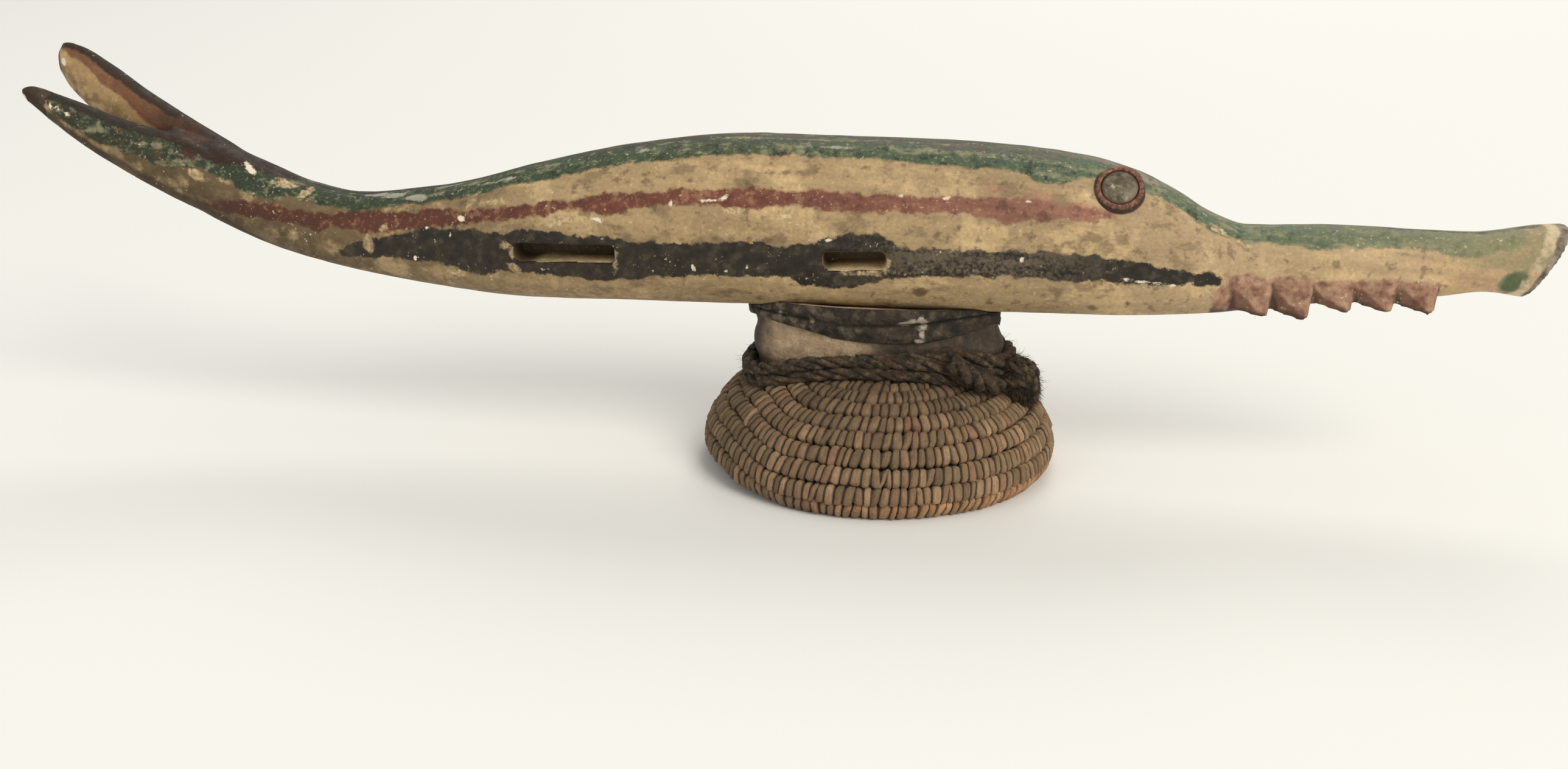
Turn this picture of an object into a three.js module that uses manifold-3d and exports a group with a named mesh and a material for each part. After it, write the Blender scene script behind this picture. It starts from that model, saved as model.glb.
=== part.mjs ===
// A carved wooden fish, worn as a dance crest. It rises from a coiled basketry skull cap on a short
// neck, which is wrapped in cloth under the belly and bound with a twisted cord at its foot.
// Millimetres, +Z up, snout towards +X. The origin is on the ground under the middle of the fish.

import * as THREE from 'three';
import { ConvexGeometry } from 'three/addons/geometries/ConvexGeometry.js';
import { mergeVertices } from 'three/addons/utils/BufferGeometryUtils.js';
import Module from 'manifold-3d';

const wasm = await Module();
wasm.setup();

// Driving dimensions
const FISH_LENGTH = 910;
const FISH_WIDTH = 78;
const BACK_HEIGHT = 198; // top of the back above the ground
const BELLY_HEIGHT = 95; // lowest line of the belly above the ground
const CAP_RADIUS = 107;
const CAP_HEIGHT = 63;
const CAP_WALL = 9;
const CAP_TUCK = 5.5; // how far the rim draws in at the ground
const COIL_PITCH = 11.3; // width of one coil of the basketry
const CAP_PLACE = 72; // the middle of the cap, towards the snout
const NECK_LENGTH = 145.5;
const NECK_WIDTH = 66;
const NECK_PLACE = 69; // the middle of the neck, towards the snout
const CORD_RADIUS = 3.5;
const EYE_RADIUS = 10.5;
const GAP = 0.3; // left between pieces that rest on each other
const SLIVER = 0.06; // faces thinner than this are merged with their neighbours

const SNOUT_TIP = FISH_LENGTH / 2;
const TAIL_TIP = -FISH_LENGTH / 2;
const HALF_WIDTH = FISH_WIDTH / 2;
const [NEAR, FAR] = [-1, 1]; // the fish's right flank, and its left one

// Where the carving lines pass, as [place along the fish, height or half width]
const BACK_LINE = [
  [-372, 191], [-345, 183], [-315, 171], [-285, 159], [-255, 154], [-205, 159], [-142, 175], [-73, 190.5],
  [0, BACK_HEIGHT], [95, BACK_HEIGHT - 0.5], [150, 195], [190, 190.5], [218, 183], [240, 172.5],
  [262, 159.5], [282, 153.5], [330, 155], [405, 154], [SNOUT_TIP - 10, 160], [SNOUT_TIP + 6, 161],
];
const BELLY_LINE = [
  [-372, 151], [-340, 133.5], [-300, 117.5], [-250, 106.5], [-200, 99], [-136, BELLY_HEIGHT], [-60, 96.5],
  [60, 98], [200, 99.5], [262, 103], [335, 112], [390, 117.5], [415, 121.3], [SNOUT_TIP - 20, 119],
  [SNOUT_TIP + 6, 117],
];
const SIDE_LINE = [
  [-372, 16], [-345, 20.5], [-300, 22], [-250, 23.5], [-200, 28], [-136, 35], [-60, HALF_WIDTH],
  [110, HALF_WIDTH], [190, 37], [235, 33.5], [258, 29.5], [285, 22], [330, 20.5], [410, 18],
  [SNOUT_TIP - 12, 20], [SNOUT_TIP + 6, 21.5],
];
const BODY_STEP = 24;
const HEAD_STEP = 12;
const HEAD_START = 180;
const RING_POINTS = 22;

// The cap's outer wall from the rim to the crown, as [radius, height]
const CAP_LINE = [
  [CAP_RADIUS - CAP_TUCK, 0], [CAP_RADIUS, 11], [CAP_RADIUS - 2, 22], [CAP_RADIUS - 7, 32],
  [CAP_RADIUS - 14, 40.5], [CAP_RADIUS - 23, 47.5], [CAP_RADIUS - 33, 53], [CAP_RADIUS - 44, 57.5],
  [CAP_RADIUS - 56, 60.5], [CAP_RADIUS - 72, CAP_HEIGHT - 1], [0, CAP_HEIGHT],
];

/** A smooth line through the points, which rises and falls only where they do. */
function smoothThrough(points) {
  const width = (i) => points[i + 1][0] - points[i][0];
  const rise = (i) => (points[i + 1][1] - points[i][1]) / width(i);
  const last = points.length - 1;
  const slopes = points.map((_, i) => {
    if (i === 0) return rise(0);
    if (i === last) return rise(last - 1);
    const [before, after] = [rise(i - 1), rise(i)];
    if (before * after <= 0) return 0;
    const [near, far] = [2 * width(i) + width(i - 1), width(i) + 2 * width(i - 1)];
    return (near + far) / (near / before + far / after);
  });
  return (place) => {
    let i = 0;
    while (i < last - 1 && place > points[i + 1][0]) i += 1;
    const w = width(i);
    const t = THREE.MathUtils.clamp((place - points[i][0]) / w, 0, 1);
    const [a, b] = [points[i][1], points[i + 1][1]];
    const s = t * t * (3 - 2 * t);
    return a + (b - a) * s + w * (t * (1 - t) * ((1 - t) * slopes[i] - t * slopes[i + 1]));
  };
}

/** A power that keeps the sign, for squarish ovals. */
function signedPower(value, power) {
  return Math.sign(value) * Math.abs(value) ** power;
}

/** A point of an oval with the given half sizes; a squareness of 2 is an ellipse and 4 nearly a box. */
function ovalPoint(turn, halfAcross, halfUp, squareness) {
  return [
    halfAcross * signedPower(Math.cos(turn), 2 / squareness),
    halfUp * signedPower(Math.sin(turn), 2 / squareness),
  ];
}

/** A closed body through rings of equally many points, with a flat end on the first and the last. */
function loft(rings) {
  const count = rings[0].length;
  const ends = [rings[0], rings.at(-1)].map((ring) =>
    ring.reduce((sum, p) => sum.add(p), new THREE.Vector3()).divideScalar(count));
  const points = [...rings.flat(), ...ends];
  const [firstEnd, lastEnd] = [points.length - 2, points.length - 1];
  const faces = [];
  for (let k = 0; k < count; k += 1) {
    const next = (k + 1) % count;
    faces.push(firstEnd, next, k);
    for (let i = 0; i < rings.length - 1; i += 1) {
      const [a, b] = [i * count + k, i * count + next];
      faces.push(a, b, b + count, a, b + count, a + count);
    }
    faces.push(lastEnd, lastEnd - 1 - count + k, lastEnd - 1 - count + next);
  }
  return geometryOf(points, faces);
}

/** A closed loop through rings of equally many points, whose last ring joins the first. */
function loop(rings) {
  const count = rings[0].length;
  const faces = [];
  rings.forEach((_, i) => {
    const after = ((i + 1) % rings.length) * count;
    for (let k = 0; k < count; k += 1) {
      const next = (k + 1) % count;
      const [a, b] = [i * count + k, i * count + next];
      faces.push(a, b, after + next, a, after + next, after + k);
    }
  });
  return geometryOf(rings.flat(), faces);
}

function geometryOf(points, faces) {
  const geometry = new THREE.BufferGeometry().setFromPoints(points);
  geometry.setIndex(faces);
  return geometry;
}

/** The solid that a closed geometry bounds, for joins and cuts. */
function solidOf(geometry) {
  const bare = geometry.clone();
  bare.deleteAttribute('normal');
  bare.deleteAttribute('uv');
  const merged = mergeVertices(bare, 1e-3);
  const faces = [];
  for (let i = 0; i < merged.index.count; i += 3) {
    const [a, b, c] = [0, 1, 2].map((k) => merged.index.getX(i + k));
    if (a !== b && b !== c && c !== a) faces.push(a, b, c);
  }
  return new wasm.Manifold(new wasm.Mesh({
    numProp: 3,
    vertProperties: new Float32Array(merged.attributes.position.array),
    triVerts: new Uint32Array(faces),
  }));
}

/** The geometry of a solid, without the slivers that joins and cuts leave. */
function geometryFrom(solid) {
  const mesh = solid.simplify(SLIVER).getMesh();
  const geometry = new THREE.BufferGeometry();
  geometry.setAttribute('position', new THREE.BufferAttribute(new Float32Array(mesh.vertProperties), 3));
  geometry.setIndex(new THREE.BufferAttribute(new Uint32Array(mesh.triVerts), 1));
  return geometry;
}

const backHeight = smoothThrough(BACK_LINE);
const bellyHeight = smoothThrough(BELLY_LINE);
const halfWidth = smoothThrough(SIDE_LINE);
const BACK_SQUARENESS = 2.25;
const BELLY_SQUARENESS = 2.9;

/** One ring around the log: a rounded back over a squarer belly. */
function bodyRing(along) {
  const [top, bottom] = [backHeight(along), bellyHeight(along)];
  const [middle, half] = [(top + bottom) / 2, (top - bottom) / 2];
  return Array.from({ length: RING_POINTS }, (_, k) => {
    const turn = (2 * Math.PI * (k + 0.5)) / RING_POINTS;
    const squareness = Math.sin(turn) > 0 ? BACK_SQUARENESS : BELLY_SQUARENESS;
    const [y, z] = ovalPoint(turn, halfWidth(along), half, squareness);
    return new THREE.Vector3(along, y, middle + z);
  });
}

function fishLog() {
  const rings = [];
  const [start, end] = [BACK_LINE[0][0], BACK_LINE.at(-1)[0]];
  for (let along = start; along < end; along += along < HEAD_START ? BODY_STEP : HEAD_STEP) {
    rings.push(bodyRing(along));
  }
  rings.push(bodyRing(end));
  return solidOf(loft(rings));
}

// The two prongs of the tail, from the root inside the log to the tip, as [place along the fish, top,
// bottom, inner face, outer face]. The near one is pointed, the far one blunt and some 20 mm higher.
const NEAR_PRONG = [
  [-300, 160, 121, -4, 17], [-328, 171.5, 130, -4, 20.5], [-350, 183, 141, -2.5, 22.5],
  [-372, 190.5, 152, 1, 23.5], [-395, 198, 166, 5.5, 25], [-418, 207.5, 181, 10.5, 26.5],
  [-436, 214.5, 196, 15, 27], [-447, 218, 206, 18.5, 26.5], [TAIL_TIP + 1.5, 217, 211, 21.5, 24.5],
];
const FAR_PRONG = [
  [-300, 162, 121, -4, 17], [-328, 174, 131, -4, 20.5], [-350, 186.5, 143, -2.5, 22.5],
  [-372, 198, 154.5, 1, 23.5], [-395, 211, 168, 5.5, 25.5], [-418, 226, 184, 9.5, 27.5],
  [-437, 236.5, 199.5, 14, 29], [-449, 239, 211, 17.5, 29], [TAIL_TIP, 232, 221, 21, 27],
];
const PRONG_POINTS = 12;
const PRONG_SQUARENESS = 2.4;

function tailProng(stations, side) {
  const rings = stations.map(([along, top, bottom, inner, outer]) =>
    Array.from({ length: PRONG_POINTS }, (_, k) => {
      const turn = (2 * Math.PI * k) / PRONG_POINTS;
      const [y, z] = ovalPoint(turn, (outer - inner) / 2, (top - bottom) / 2, PRONG_SQUARENESS);
      return new THREE.Vector3(along, (side * (inner + outer)) / 2 + y, (top + bottom) / 2 + z);
    }));
  return solidOf(loft(rings.reverse()));
}

// Five saw teeth along each side of the lower jaw, each cut back under its point, which is at its end
// towards the snout. The flat side of a tooth stands proud of the jaw, and its underside slants inwards.
const TEETH = { count: 5, start: 273.5, pitch: 22.8, length: 22.3, crown: 130.8 };
const TOOTH_POINTS = [105, 104.2, 109.3, 110, 110]; // how high each point is above the ground
const TOOTH_STEP = 4.6; // how much higher the foot of a tooth starts than its point
const TOOTH_PROUD = 3;
const TOOTH_ROOT = 10; // how deep it reaches into the jaw
const JAW_HALF_WIDTH = 22;

function jawTooth(index, side) {
  const start = TEETH.start + index * TEETH.pitch;
  const end = start + TEETH.length;
  const flank = Math.min(halfWidth(start), JAW_HALF_WIDTH);
  const [crown, point, proud] = [TEETH.crown, TOOTH_POINTS[index], flank + TOOTH_PROUD];
  const root = flank - TOOTH_ROOT;
  const corners = [
    [start + 2, root, crown - 4], [end - 1, root, crown - 4],
    [start, root, point + TOOTH_STEP + 3], [end - 3, root, point + 4],
    [start + 4, flank + 0.4, crown], [end - 2, flank + 0.8, crown],
    [start + 2, flank, crown - 7], [start, flank - 2.5, point + TOOTH_STEP],
    [end, proud - 0.8, crown - 9], [end - 9, proud, crown - 11],
    [end - 1, proud - 1, point + 2], [end - 4.5, proud - 1.6, point], [end - 6, proud, point + 4.5],
  ];
  return solidOf(new ConvexGeometry(corners.map(([x, y, z]) => new THREE.Vector3(x, side * y, z))));
}

// Two blind slots in each flank, for fins that are lost: [middle along, middle height, length]
const FIN_SLOTS = [[-114.5, 130, 63], [58.5, 133, 37.5]];
const SLOT_HEIGHT = 11;
const SLOT_DEPTH = 23;
const SLOT_TILT = THREE.MathUtils.degToRad(2.3); // they rise towards the snout

function finSlot([along, height, length], side) {
  const reach = 2 * SLOT_DEPTH;
  const box = new THREE.BoxGeometry(length, reach, SLOT_HEIGHT);
  box.rotateY(-SLOT_TILT);
  box.translate(along, side * (halfWidth(along) - SLOT_DEPTH + reach / 2), height);
  return solidOf(box);
}

// Each eye is a dull disc in a raised round collar on the shoulder of the head. The far one sits lower.
const EYE_ALONG = 206.4;
const EYES = {
  [NEAR]: { out: 24.8, height: 177.6, tilt: 38 }, // tilt: degrees that it looks up
  [FAR]: { out: 31, height: 167.5, tilt: 24 },
};
const COLLAR = { radius: 13.8, proud: 3, root: 9, bevel: 1.2 };
const EYE_SEAT_DEPTH = 2.2;
const EYE_SIDES = 20;

/** A round body that looks outwards from one side of the head, from its [radius, height] profile. */
function onTheShoulder(profile, side) {
  const geometry = new THREE.LatheGeometry(profile.map(([r, h]) => new THREE.Vector2(r, h)), EYE_SIDES);
  const { out, height, tilt } = EYES[side];
  geometry.rotateX(THREE.MathUtils.degToRad(side === FAR ? tilt : 180 - tilt));
  geometry.translate(EYE_ALONG, side * out, height);
  return solidOf(geometry);
}

function eyeCollar(side) {
  const { radius, proud, root, bevel } = COLLAR;
  const edge = [[radius, -root], [radius, proud - bevel], [radius - bevel, proud]];
  return onTheShoulder([[0, -root], ...edge, [0, proud]], side);
}

function eyeSeat(side) {
  const [radius, floor, above] = [EYE_RADIUS + GAP, COLLAR.proud - EYE_SEAT_DEPTH, COLLAR.proud + 2];
  return onTheShoulder([[0, floor], [radius, floor], [radius, above], [0, above]], side);
}

function eyeDisc(side) {
  const floor = COLLAR.proud - EYE_SEAT_DEPTH + GAP;
  const rim = COLLAR.proud - 0.8;
  const face = [[EYE_RADIUS, floor], [EYE_RADIUS, rim], [0.5 * EYE_RADIUS, rim + 0.8]];
  return onTheShoulder([[0, floor], ...face, [0, rim + 1]], side);
}

// The mouth is cut off at a slant, the upper lip ahead of the lower, and hollowed a little
const LOWER_LIP = [SNOUT_TIP - 21, 118];
const UPPER_LIP = [SNOUT_TIP, 159];
const MOUTH_HOLLOW = 3.5;

function mouthCut() {
  const [[x0, z0], [x1, z1]] = [LOWER_LIP, UPPER_LIP];
  const lean = Math.atan2(x1 - x0, z1 - z0);
  const reach = 80;
  const box = new THREE.BoxGeometry(reach, reach, 2 * reach);
  box.translate(reach / 2, 0, 0);
  const dish = new THREE.SphereGeometry(1, 16, 10);
  dish.scale(MOUTH_HOLLOW, 15, 17);
  return [box, dish].map((geometry) => {
    geometry.rotateY(lean);
    geometry.translate((x0 + x1) / 2, 0, (z0 + z1) / 2);
    return solidOf(geometry);
  });
}

function carvedFish() {
  let fish = fishLog().add(tailProng(NEAR_PRONG, NEAR)).add(tailProng(FAR_PRONG, FAR));
  for (const side of [NEAR, FAR]) {
    for (let i = 0; i < TEETH.count; i += 1) fish = fish.add(jawTooth(i, side));
    for (const slot of FIN_SLOTS) fish = fish.subtract(finSlot(slot, side));
    fish = fish.add(eyeCollar(side)).subtract(eyeSeat(side));
  }
  for (const cut of mouthCut()) fish = fish.subtract(cut);
  return fish;
}

// The cap: coils of grass bundle that rise from the rim, hollow below
const COIL_BULGE = 1.6;
const CAP_SIDES = 32;
const OUTER_COILS = 8;

/** A place on a line of points, at a distance along it. */
function placeOnLine(line, distance) {
  let left = distance;
  for (let i = 0; i < line.length - 1; i += 1) {
    const [a, b] = [new THREE.Vector2(...line[i]), new THREE.Vector2(...line[i + 1])];
    const length = a.distanceTo(b);
    if (left <= length) return { point: a.clone().lerp(b, left / length), way: b.sub(a).normalize() };
    left -= length;
  }
  const [a, b] = [new THREE.Vector2(...line.at(-2)), new THREE.Vector2(...line.at(-1))];
  return { point: b.clone(), way: b.clone().sub(a).normalize() };
}

const capHeight = smoothThrough([...CAP_LINE.slice(1)].reverse());

/** The outside of the cap from the rim to the crown, one low ridge for each coil. */
function coiledOutside() {
  const coils = [];
  for (let coil = 0; coil < OUTER_COILS; coil += 1) {
    for (const [share, bulge] of [[0, 0], [0.25, 0.8], [0.7, 0.85]]) {
      const { point, way } = placeOnLine(CAP_LINE, (coil + share) * COIL_PITCH);
      const onTheGround = coil === 0 && share === 0;
      const outward = new THREE.Vector2(way.y, -way.x).multiplyScalar(onTheGround ? 0 : bulge * COIL_BULGE);
      coils.push(point.add(outward));
    }
  }
  const crown = CAP_LINE.filter(([radius]) => radius < coils.at(-1).x - 6);
  return [...coils, ...crown.map((point) => new THREE.Vector2(...point))];
}

function turnedOnTheCap(profile) {
  const geometry = new THREE.LatheGeometry(profile, CAP_SIDES);
  geometry.rotateX(Math.PI / 2);
  geometry.translate(CAP_PLACE, 0, 0);
  return solidOf(geometry);
}

function coiledCap() {
  const outside = coiledOutside();
  const inside = [9.2, 8, 6, 4, 2].map((coil) => {
    const { point, way } = placeOnLine(CAP_LINE, coil * COIL_PITCH);
    return point.add(new THREE.Vector2(-way.y, way.x).multiplyScalar(CAP_WALL));
  });
  const innerCrown = new THREE.Vector2(0, CAP_HEIGHT - CAP_WALL);
  const innerRim = new THREE.Vector2(CAP_RADIUS - CAP_TUCK - CAP_WALL, 0);
  return turnedOnTheCap([...outside, innerCrown, ...inside, innerRim, outside[0].clone()]);
}

/** The cap with its hollow filled, to cut what stands on it. */
function filledCap() {
  const outside = coiledOutside();
  return turnedOnTheCap([...outside, new THREE.Vector2(0, 0), outside[0].clone()]).translate([0, 0, GAP]);
}

// The neck: a squarish oval block in hide, cut to the belly above and to the crown of the cap below,
// as [height, how much longer it is towards the tail, towards the snout, and how much wider each side]
const NECK_LINE = [[45, -1, 3, 3], [60, -1, 3, 3], [74, 1.5, 4.5, 2], [88, 0, 0.5, 0], [103, 1, 0, 0]];
const NECK_TOP = NECK_LINE.at(-1)[0];
const NECK_FOOT = NECK_LINE[1][0];
const NECK_SQUARENESS = 2.6;
const NECK_SIDES = 28;
const [neckRear, neckFront, neckFlank] = [1, 2, 3].map((column) =>
  smoothThrough(NECK_LINE.map((row) => [row[0], row[column]])));

/** A point around the neck, a given distance outside it. */
function roundNeck(turn, height, outside = 0) {
  const longer = Math.cos(turn) < 0 ? neckRear(height) : neckFront(height);
  const halfLong = NECK_LENGTH / 2 + longer + outside;
  const halfWide = NECK_WIDTH / 2 + neckFlank(height) + outside;
  const [x, y] = ovalPoint(turn, halfLong, halfWide, NECK_SQUARENESS);
  return new THREE.Vector3(NECK_PLACE + x, y, height);
}

function neckBlock(fish, capFilled) {
  const rings = NECK_LINE.map(([height]) =>
    Array.from({ length: NECK_SIDES }, (_, k) => roundNeck((2 * Math.PI * k) / NECK_SIDES, height)));
  return solidOf(loft(rings)).subtract(fish.translate([0, 0, -GAP])).subtract(capFilled);
}

// The cloth: a strip wound twice about the top of the neck, one turn a little below the other, as
// [distance from the neck, height]. The belly rests in it. Its end sticks out towards the tail.
const CLOTH_BOTTOM = 82;
const CLOTH_LINE = [
  [GAP, NECK_TOP], [1.8, NECK_TOP], [3.2, 99], [3.2, 94.5], [2.4, 92], [3.8, 87],
  [2.6, CLOTH_BOTTOM + 0.5], [GAP, CLOTH_BOTTOM],
];
const CLOTH_END = { out: 4, from: 89, spread: 0.35 };

function neckCloth(fish) {
  const rings = Array.from({ length: NECK_SIDES }, (_, k) => {
    const turn = (2 * Math.PI * k) / NECK_SIDES;
    const near = Math.max(0, 1 - Math.abs(turn - Math.PI) / CLOTH_END.spread);
    return CLOTH_LINE.map(([outside, height]) => {
      const sticksOut = outside > GAP && height > CLOTH_END.from ? CLOTH_END.out * near : 0;
      return roundNeck(turn, height, outside + sticksOut);
    });
  });
  return solidOf(loop(rings)).subtract(fish.translate([0, 0, -GAP]));
}

// The cord: wound about the foot of the neck, where it lies on the cap, each turn above the one before,
// with a doubled part that comes over the turns from above and a knot that they all end in
const CORD_TURNS = 2.22;
const CORD_STEP = 8.5;
const CORD_PLIES = 3;
const CORD_LAY = 68; // length in which a ply goes once round the cord
const CORD_START = -14; // degrees from the snout's side, on the near side, where the knot is
const CORD_LIFT = { first: 4, turn: 2 * CORD_RADIUS + 0.25 }; // above the cap, and from turn to turn
const CORD_SLACK = { most: 6, middle: -133, spread: 50 }; // it stands off the neck's near corner at the tail
const DOUBLED = { radius: 6.2, line: [[117, -43, 77], [126, -44.5, 71], [135, -39, 64], [144, -27, 58]] };
const KNOT = { place: [NECK_PLACE + 88, -14, 57], size: [11.5, 12, 16], lean: 0.42 };

/** The cord's middle line. Each turn climbs on the far side, and the last bit runs back on the near side. */
function cordLine(turns) {
  const whole = Math.floor(turns);
  const degrees = CORD_START - 360 * (turns - whole);
  const away = THREE.MathUtils.clamp((degrees - CORD_SLACK.middle) / CORD_SLACK.spread, -1, 1);
  const outside = CORD_RADIUS + 2 * GAP + CORD_SLACK.most * (1 - away ** 2) ** 2;
  const turn = THREE.MathUtils.degToRad(degrees);
  const foot = roundNeck(turn, NECK_FOOT, outside);
  const lift = CORD_LIFT.first + CORD_LIFT.turn * (whole + THREE.MathUtils.smoothstep(turns - whole, 0.6, 1));
  return roundNeck(turn, capHeight(Math.hypot(foot.x - CAP_PLACE, foot.y)) + lift, outside);
}

/** A twisted cord along a line, as three plies that show as ridges. */
function twistedCord(line, radius) {
  const curve = new THREE.CatmullRomCurve3(line);
  const length = curve.getLength();
  const steps = Math.round(length / CORD_STEP);
  const rings = Array.from({ length: steps + 1 }, (_, i) => {
    const place = curve.getPointAt(i / steps);
    const along = curve.getTangentAt(i / steps);
    const out = new THREE.Vector3(0, 0, 1).cross(along).normalize();
    const up = along.clone().cross(out);
    const twist = (2 * Math.PI * length * i) / (steps * CORD_LAY);
    return Array.from({ length: 2 * CORD_PLIES }, (__, k) => {
      const turn = (Math.PI * k) / CORD_PLIES + twist;
      const size = k % 2 === 0 ? radius : 0.84 * radius;
      const [sideways, upwards] = [size * Math.cos(turn), size * Math.sin(turn)];
      return place.clone().addScaledVector(out, sideways).addScaledVector(up, upwards);
    });
  });
  return solidOf(loft(rings));
}

/** The knot: a lumpy ball that leans down the cap's shoulder. */
function cordKnot() {
  const ball = new THREE.SphereGeometry(1, 14, 10);
  const places = ball.attributes.position;
  for (let i = 0; i < places.count; i += 1) {
    const p = new THREE.Vector3().fromBufferAttribute(places, i);
    const lump = 1 + 0.09 * Math.sin(5 * p.x + 4 * p.y) * Math.cos(4 * p.z);
    places.setXYZ(i, p.x * lump, p.y * lump, p.z * lump);
  }
  ball.scale(...KNOT.size);
  ball.rotateY(-KNOT.lean);
  ball.translate(...KNOT.place);
  return solidOf(ball);
}

function boundCord(capFilled, neck, cloth) {
  const places = Array.from({ length: 100 }, (_, i) => cordLine((CORD_TURNS * i) / 99));
  const cord = twistedCord(places, CORD_RADIUS)
    .add(twistedCord(DOUBLED.line.map((place) => new THREE.Vector3(...place)), DOUBLED.radius))
    .add(cordKnot());
  return [capFilled, neck, cloth].reduce((left, other) => left.subtract(other), cord);
}

function pieceOf(name, solid, color, roughness, metalness = 0) {
  const material = new THREE.MeshStandardMaterial({ color, roughness, metalness, flatShading: true });
  const mesh = new THREE.Mesh(geometryFrom(solid), material);
  mesh.name = name;
  return mesh;
}

const fish = carvedFish();
const capFilled = filledCap();
const neck = neckBlock(fish, capFilled);
const cloth = neckCloth(fish);

const crest = new THREE.Group();
crest.add(
  pieceOf('fish_body', fish, 0xb0946c, 0.8),
  pieceOf('eye_right', eyeDisc(NEAR), 0x7d7c70, 0.4, 0.6),
  pieceOf('eye_left', eyeDisc(FAR), 0x7d7c70, 0.4, 0.6),
  pieceOf('cap', coiledCap(), 0x7d6448, 0.9),
  pieceOf('neck', neck, 0x96785a, 0.85),
  pieceOf('neck_cloth', cloth, 0x463e34, 0.95),
  pieceOf('neck_rope', boundCord(capFilled, neck, cloth), 0x4b3c2d, 0.95),
);

export default crest;
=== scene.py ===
# A carved and painted wooden fish, worn as a dance crest on a coiled basketry cap: a long log with a
# forked tail, saw teeth and inlaid eyes, a short neck in hide bound with cloth and rope, and the cap.
# Sizes are in millimetres until a mesh is made, +Z up, snout towards +X, as in the CAD.
import functools
import math

import bmesh
import bpy
import numpy as np
from mathutils import Matrix, Vector


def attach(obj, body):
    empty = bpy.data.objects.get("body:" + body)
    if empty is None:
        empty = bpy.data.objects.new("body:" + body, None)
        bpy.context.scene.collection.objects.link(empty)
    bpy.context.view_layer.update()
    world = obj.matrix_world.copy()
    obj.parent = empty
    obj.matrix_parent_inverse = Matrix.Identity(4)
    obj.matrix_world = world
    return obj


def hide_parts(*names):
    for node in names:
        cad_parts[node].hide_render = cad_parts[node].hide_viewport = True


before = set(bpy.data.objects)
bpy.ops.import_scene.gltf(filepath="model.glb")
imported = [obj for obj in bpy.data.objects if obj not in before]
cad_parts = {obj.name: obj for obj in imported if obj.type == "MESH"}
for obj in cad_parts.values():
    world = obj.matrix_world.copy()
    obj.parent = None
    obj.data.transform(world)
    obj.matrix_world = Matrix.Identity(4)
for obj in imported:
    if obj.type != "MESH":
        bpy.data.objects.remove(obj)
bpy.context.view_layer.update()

# The studio
# A plain pale floor that runs on behind, a broad soft light from the snout's side and above, one from
# behind, a faint one from the tail, and a camera a little above the fish. Its sizes are in metres.
CAMERA_PLACE = Vector((0.1429, -0.9348, 0.3768))
CAMERA_TURN = (math.radians(-7.93), math.radians(19.53), math.radians(0.23))
LENS, SENSOR_WIDTH = 37.03, 36
FLOOR_REACH = 15
# name, place, aim, size, power, colour
LAMPS = [("key_light", (4.5, -4.2, 5.0), (0.1, 0, 0.12), 4.8, 355, (255, 249, 241)),
         ("fill_light", (-1.4, -1.6, 1.1), (-0.1, 0, 0.12), 1.4, 5, (246, 248, 255)),
         ("back_light", (0.6, 4.8, 4.8), (0, 0.4, 0), 3.6, 140, (255, 251, 246))]

turn, tip, roll = CAMERA_TURN
view = Matrix.Rotation(roll, 3, "Y") @ Matrix.Rotation(tip, 3, "X") @ Matrix.Rotation(turn, 3, "Z")
right, ahead, up = view
camera = bpy.data.objects.new("camera", bpy.data.cameras.new("camera"))
camera.data.lens, camera.data.sensor_width = LENS, SENSOR_WIDTH
camera.matrix_world = Matrix((right, up, -ahead)).transposed().to_4x4()
camera.location = CAMERA_PLACE
bpy.context.scene.collection.objects.link(camera)
bpy.context.scene.camera = camera
bpy.context.scene.view_settings.view_transform = "Standard"


def tone(red, green, blue):
    """A colour from its screen values 0 to 255, as the linear values that shaders take."""
    share = np.array([red, green, blue]) / 255
    return (*np.where(share < 0.04045, share / 12.92, ((share + 0.055) / 1.055) ** 2.4), 1)


for name, place, aim, size, power, colour in LAMPS:
    lamp = bpy.data.lights.new(name, "AREA")
    lamp.shape, lamp.size, lamp.energy, lamp.color = "DISK", size, power, tone(*colour)[:3]
    lamp_object = bpy.data.objects.new(name, lamp)
    lamp_object.location = place
    lamp_object.rotation_euler = (Vector(aim) - Vector(place)).to_track_quat("-Z", "Y").to_euler()
    bpy.context.scene.collection.objects.link(lamp_object)

world = bpy.data.worlds.new("studio")
world.use_nodes = True
world.node_tree.nodes["Background"].inputs["Color"].default_value = tone(250, 249, 245)
world.node_tree.nodes["Background"].inputs["Strength"].default_value = 0.57
bpy.context.scene.world = world

floor_mesh = bpy.data.meshes.new("floor")
corners = [(u * FLOOR_REACH, v * FLOOR_REACH, 0) for u, v in ((-1, -1), (1, -1), (1, 1), (-1, 1))]
floor_mesh.from_pydata(corners, [], [(0, 1, 2, 3)])
floor = bpy.data.objects.new("floor", floor_mesh)
bpy.context.scene.collection.objects.link(floor)
floor_paint = bpy.data.materials.new("pale_floor")
floor_paint.use_nodes = True
floor_shader = floor_paint.node_tree.nodes["Principled BSDF"]
floor_shader.inputs["Base Color"].default_value = tone(238, 238, 234)
floor_shader.inputs["Roughness"].default_value = 0.9
floor_mesh.materials.append(floor_paint)

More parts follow.
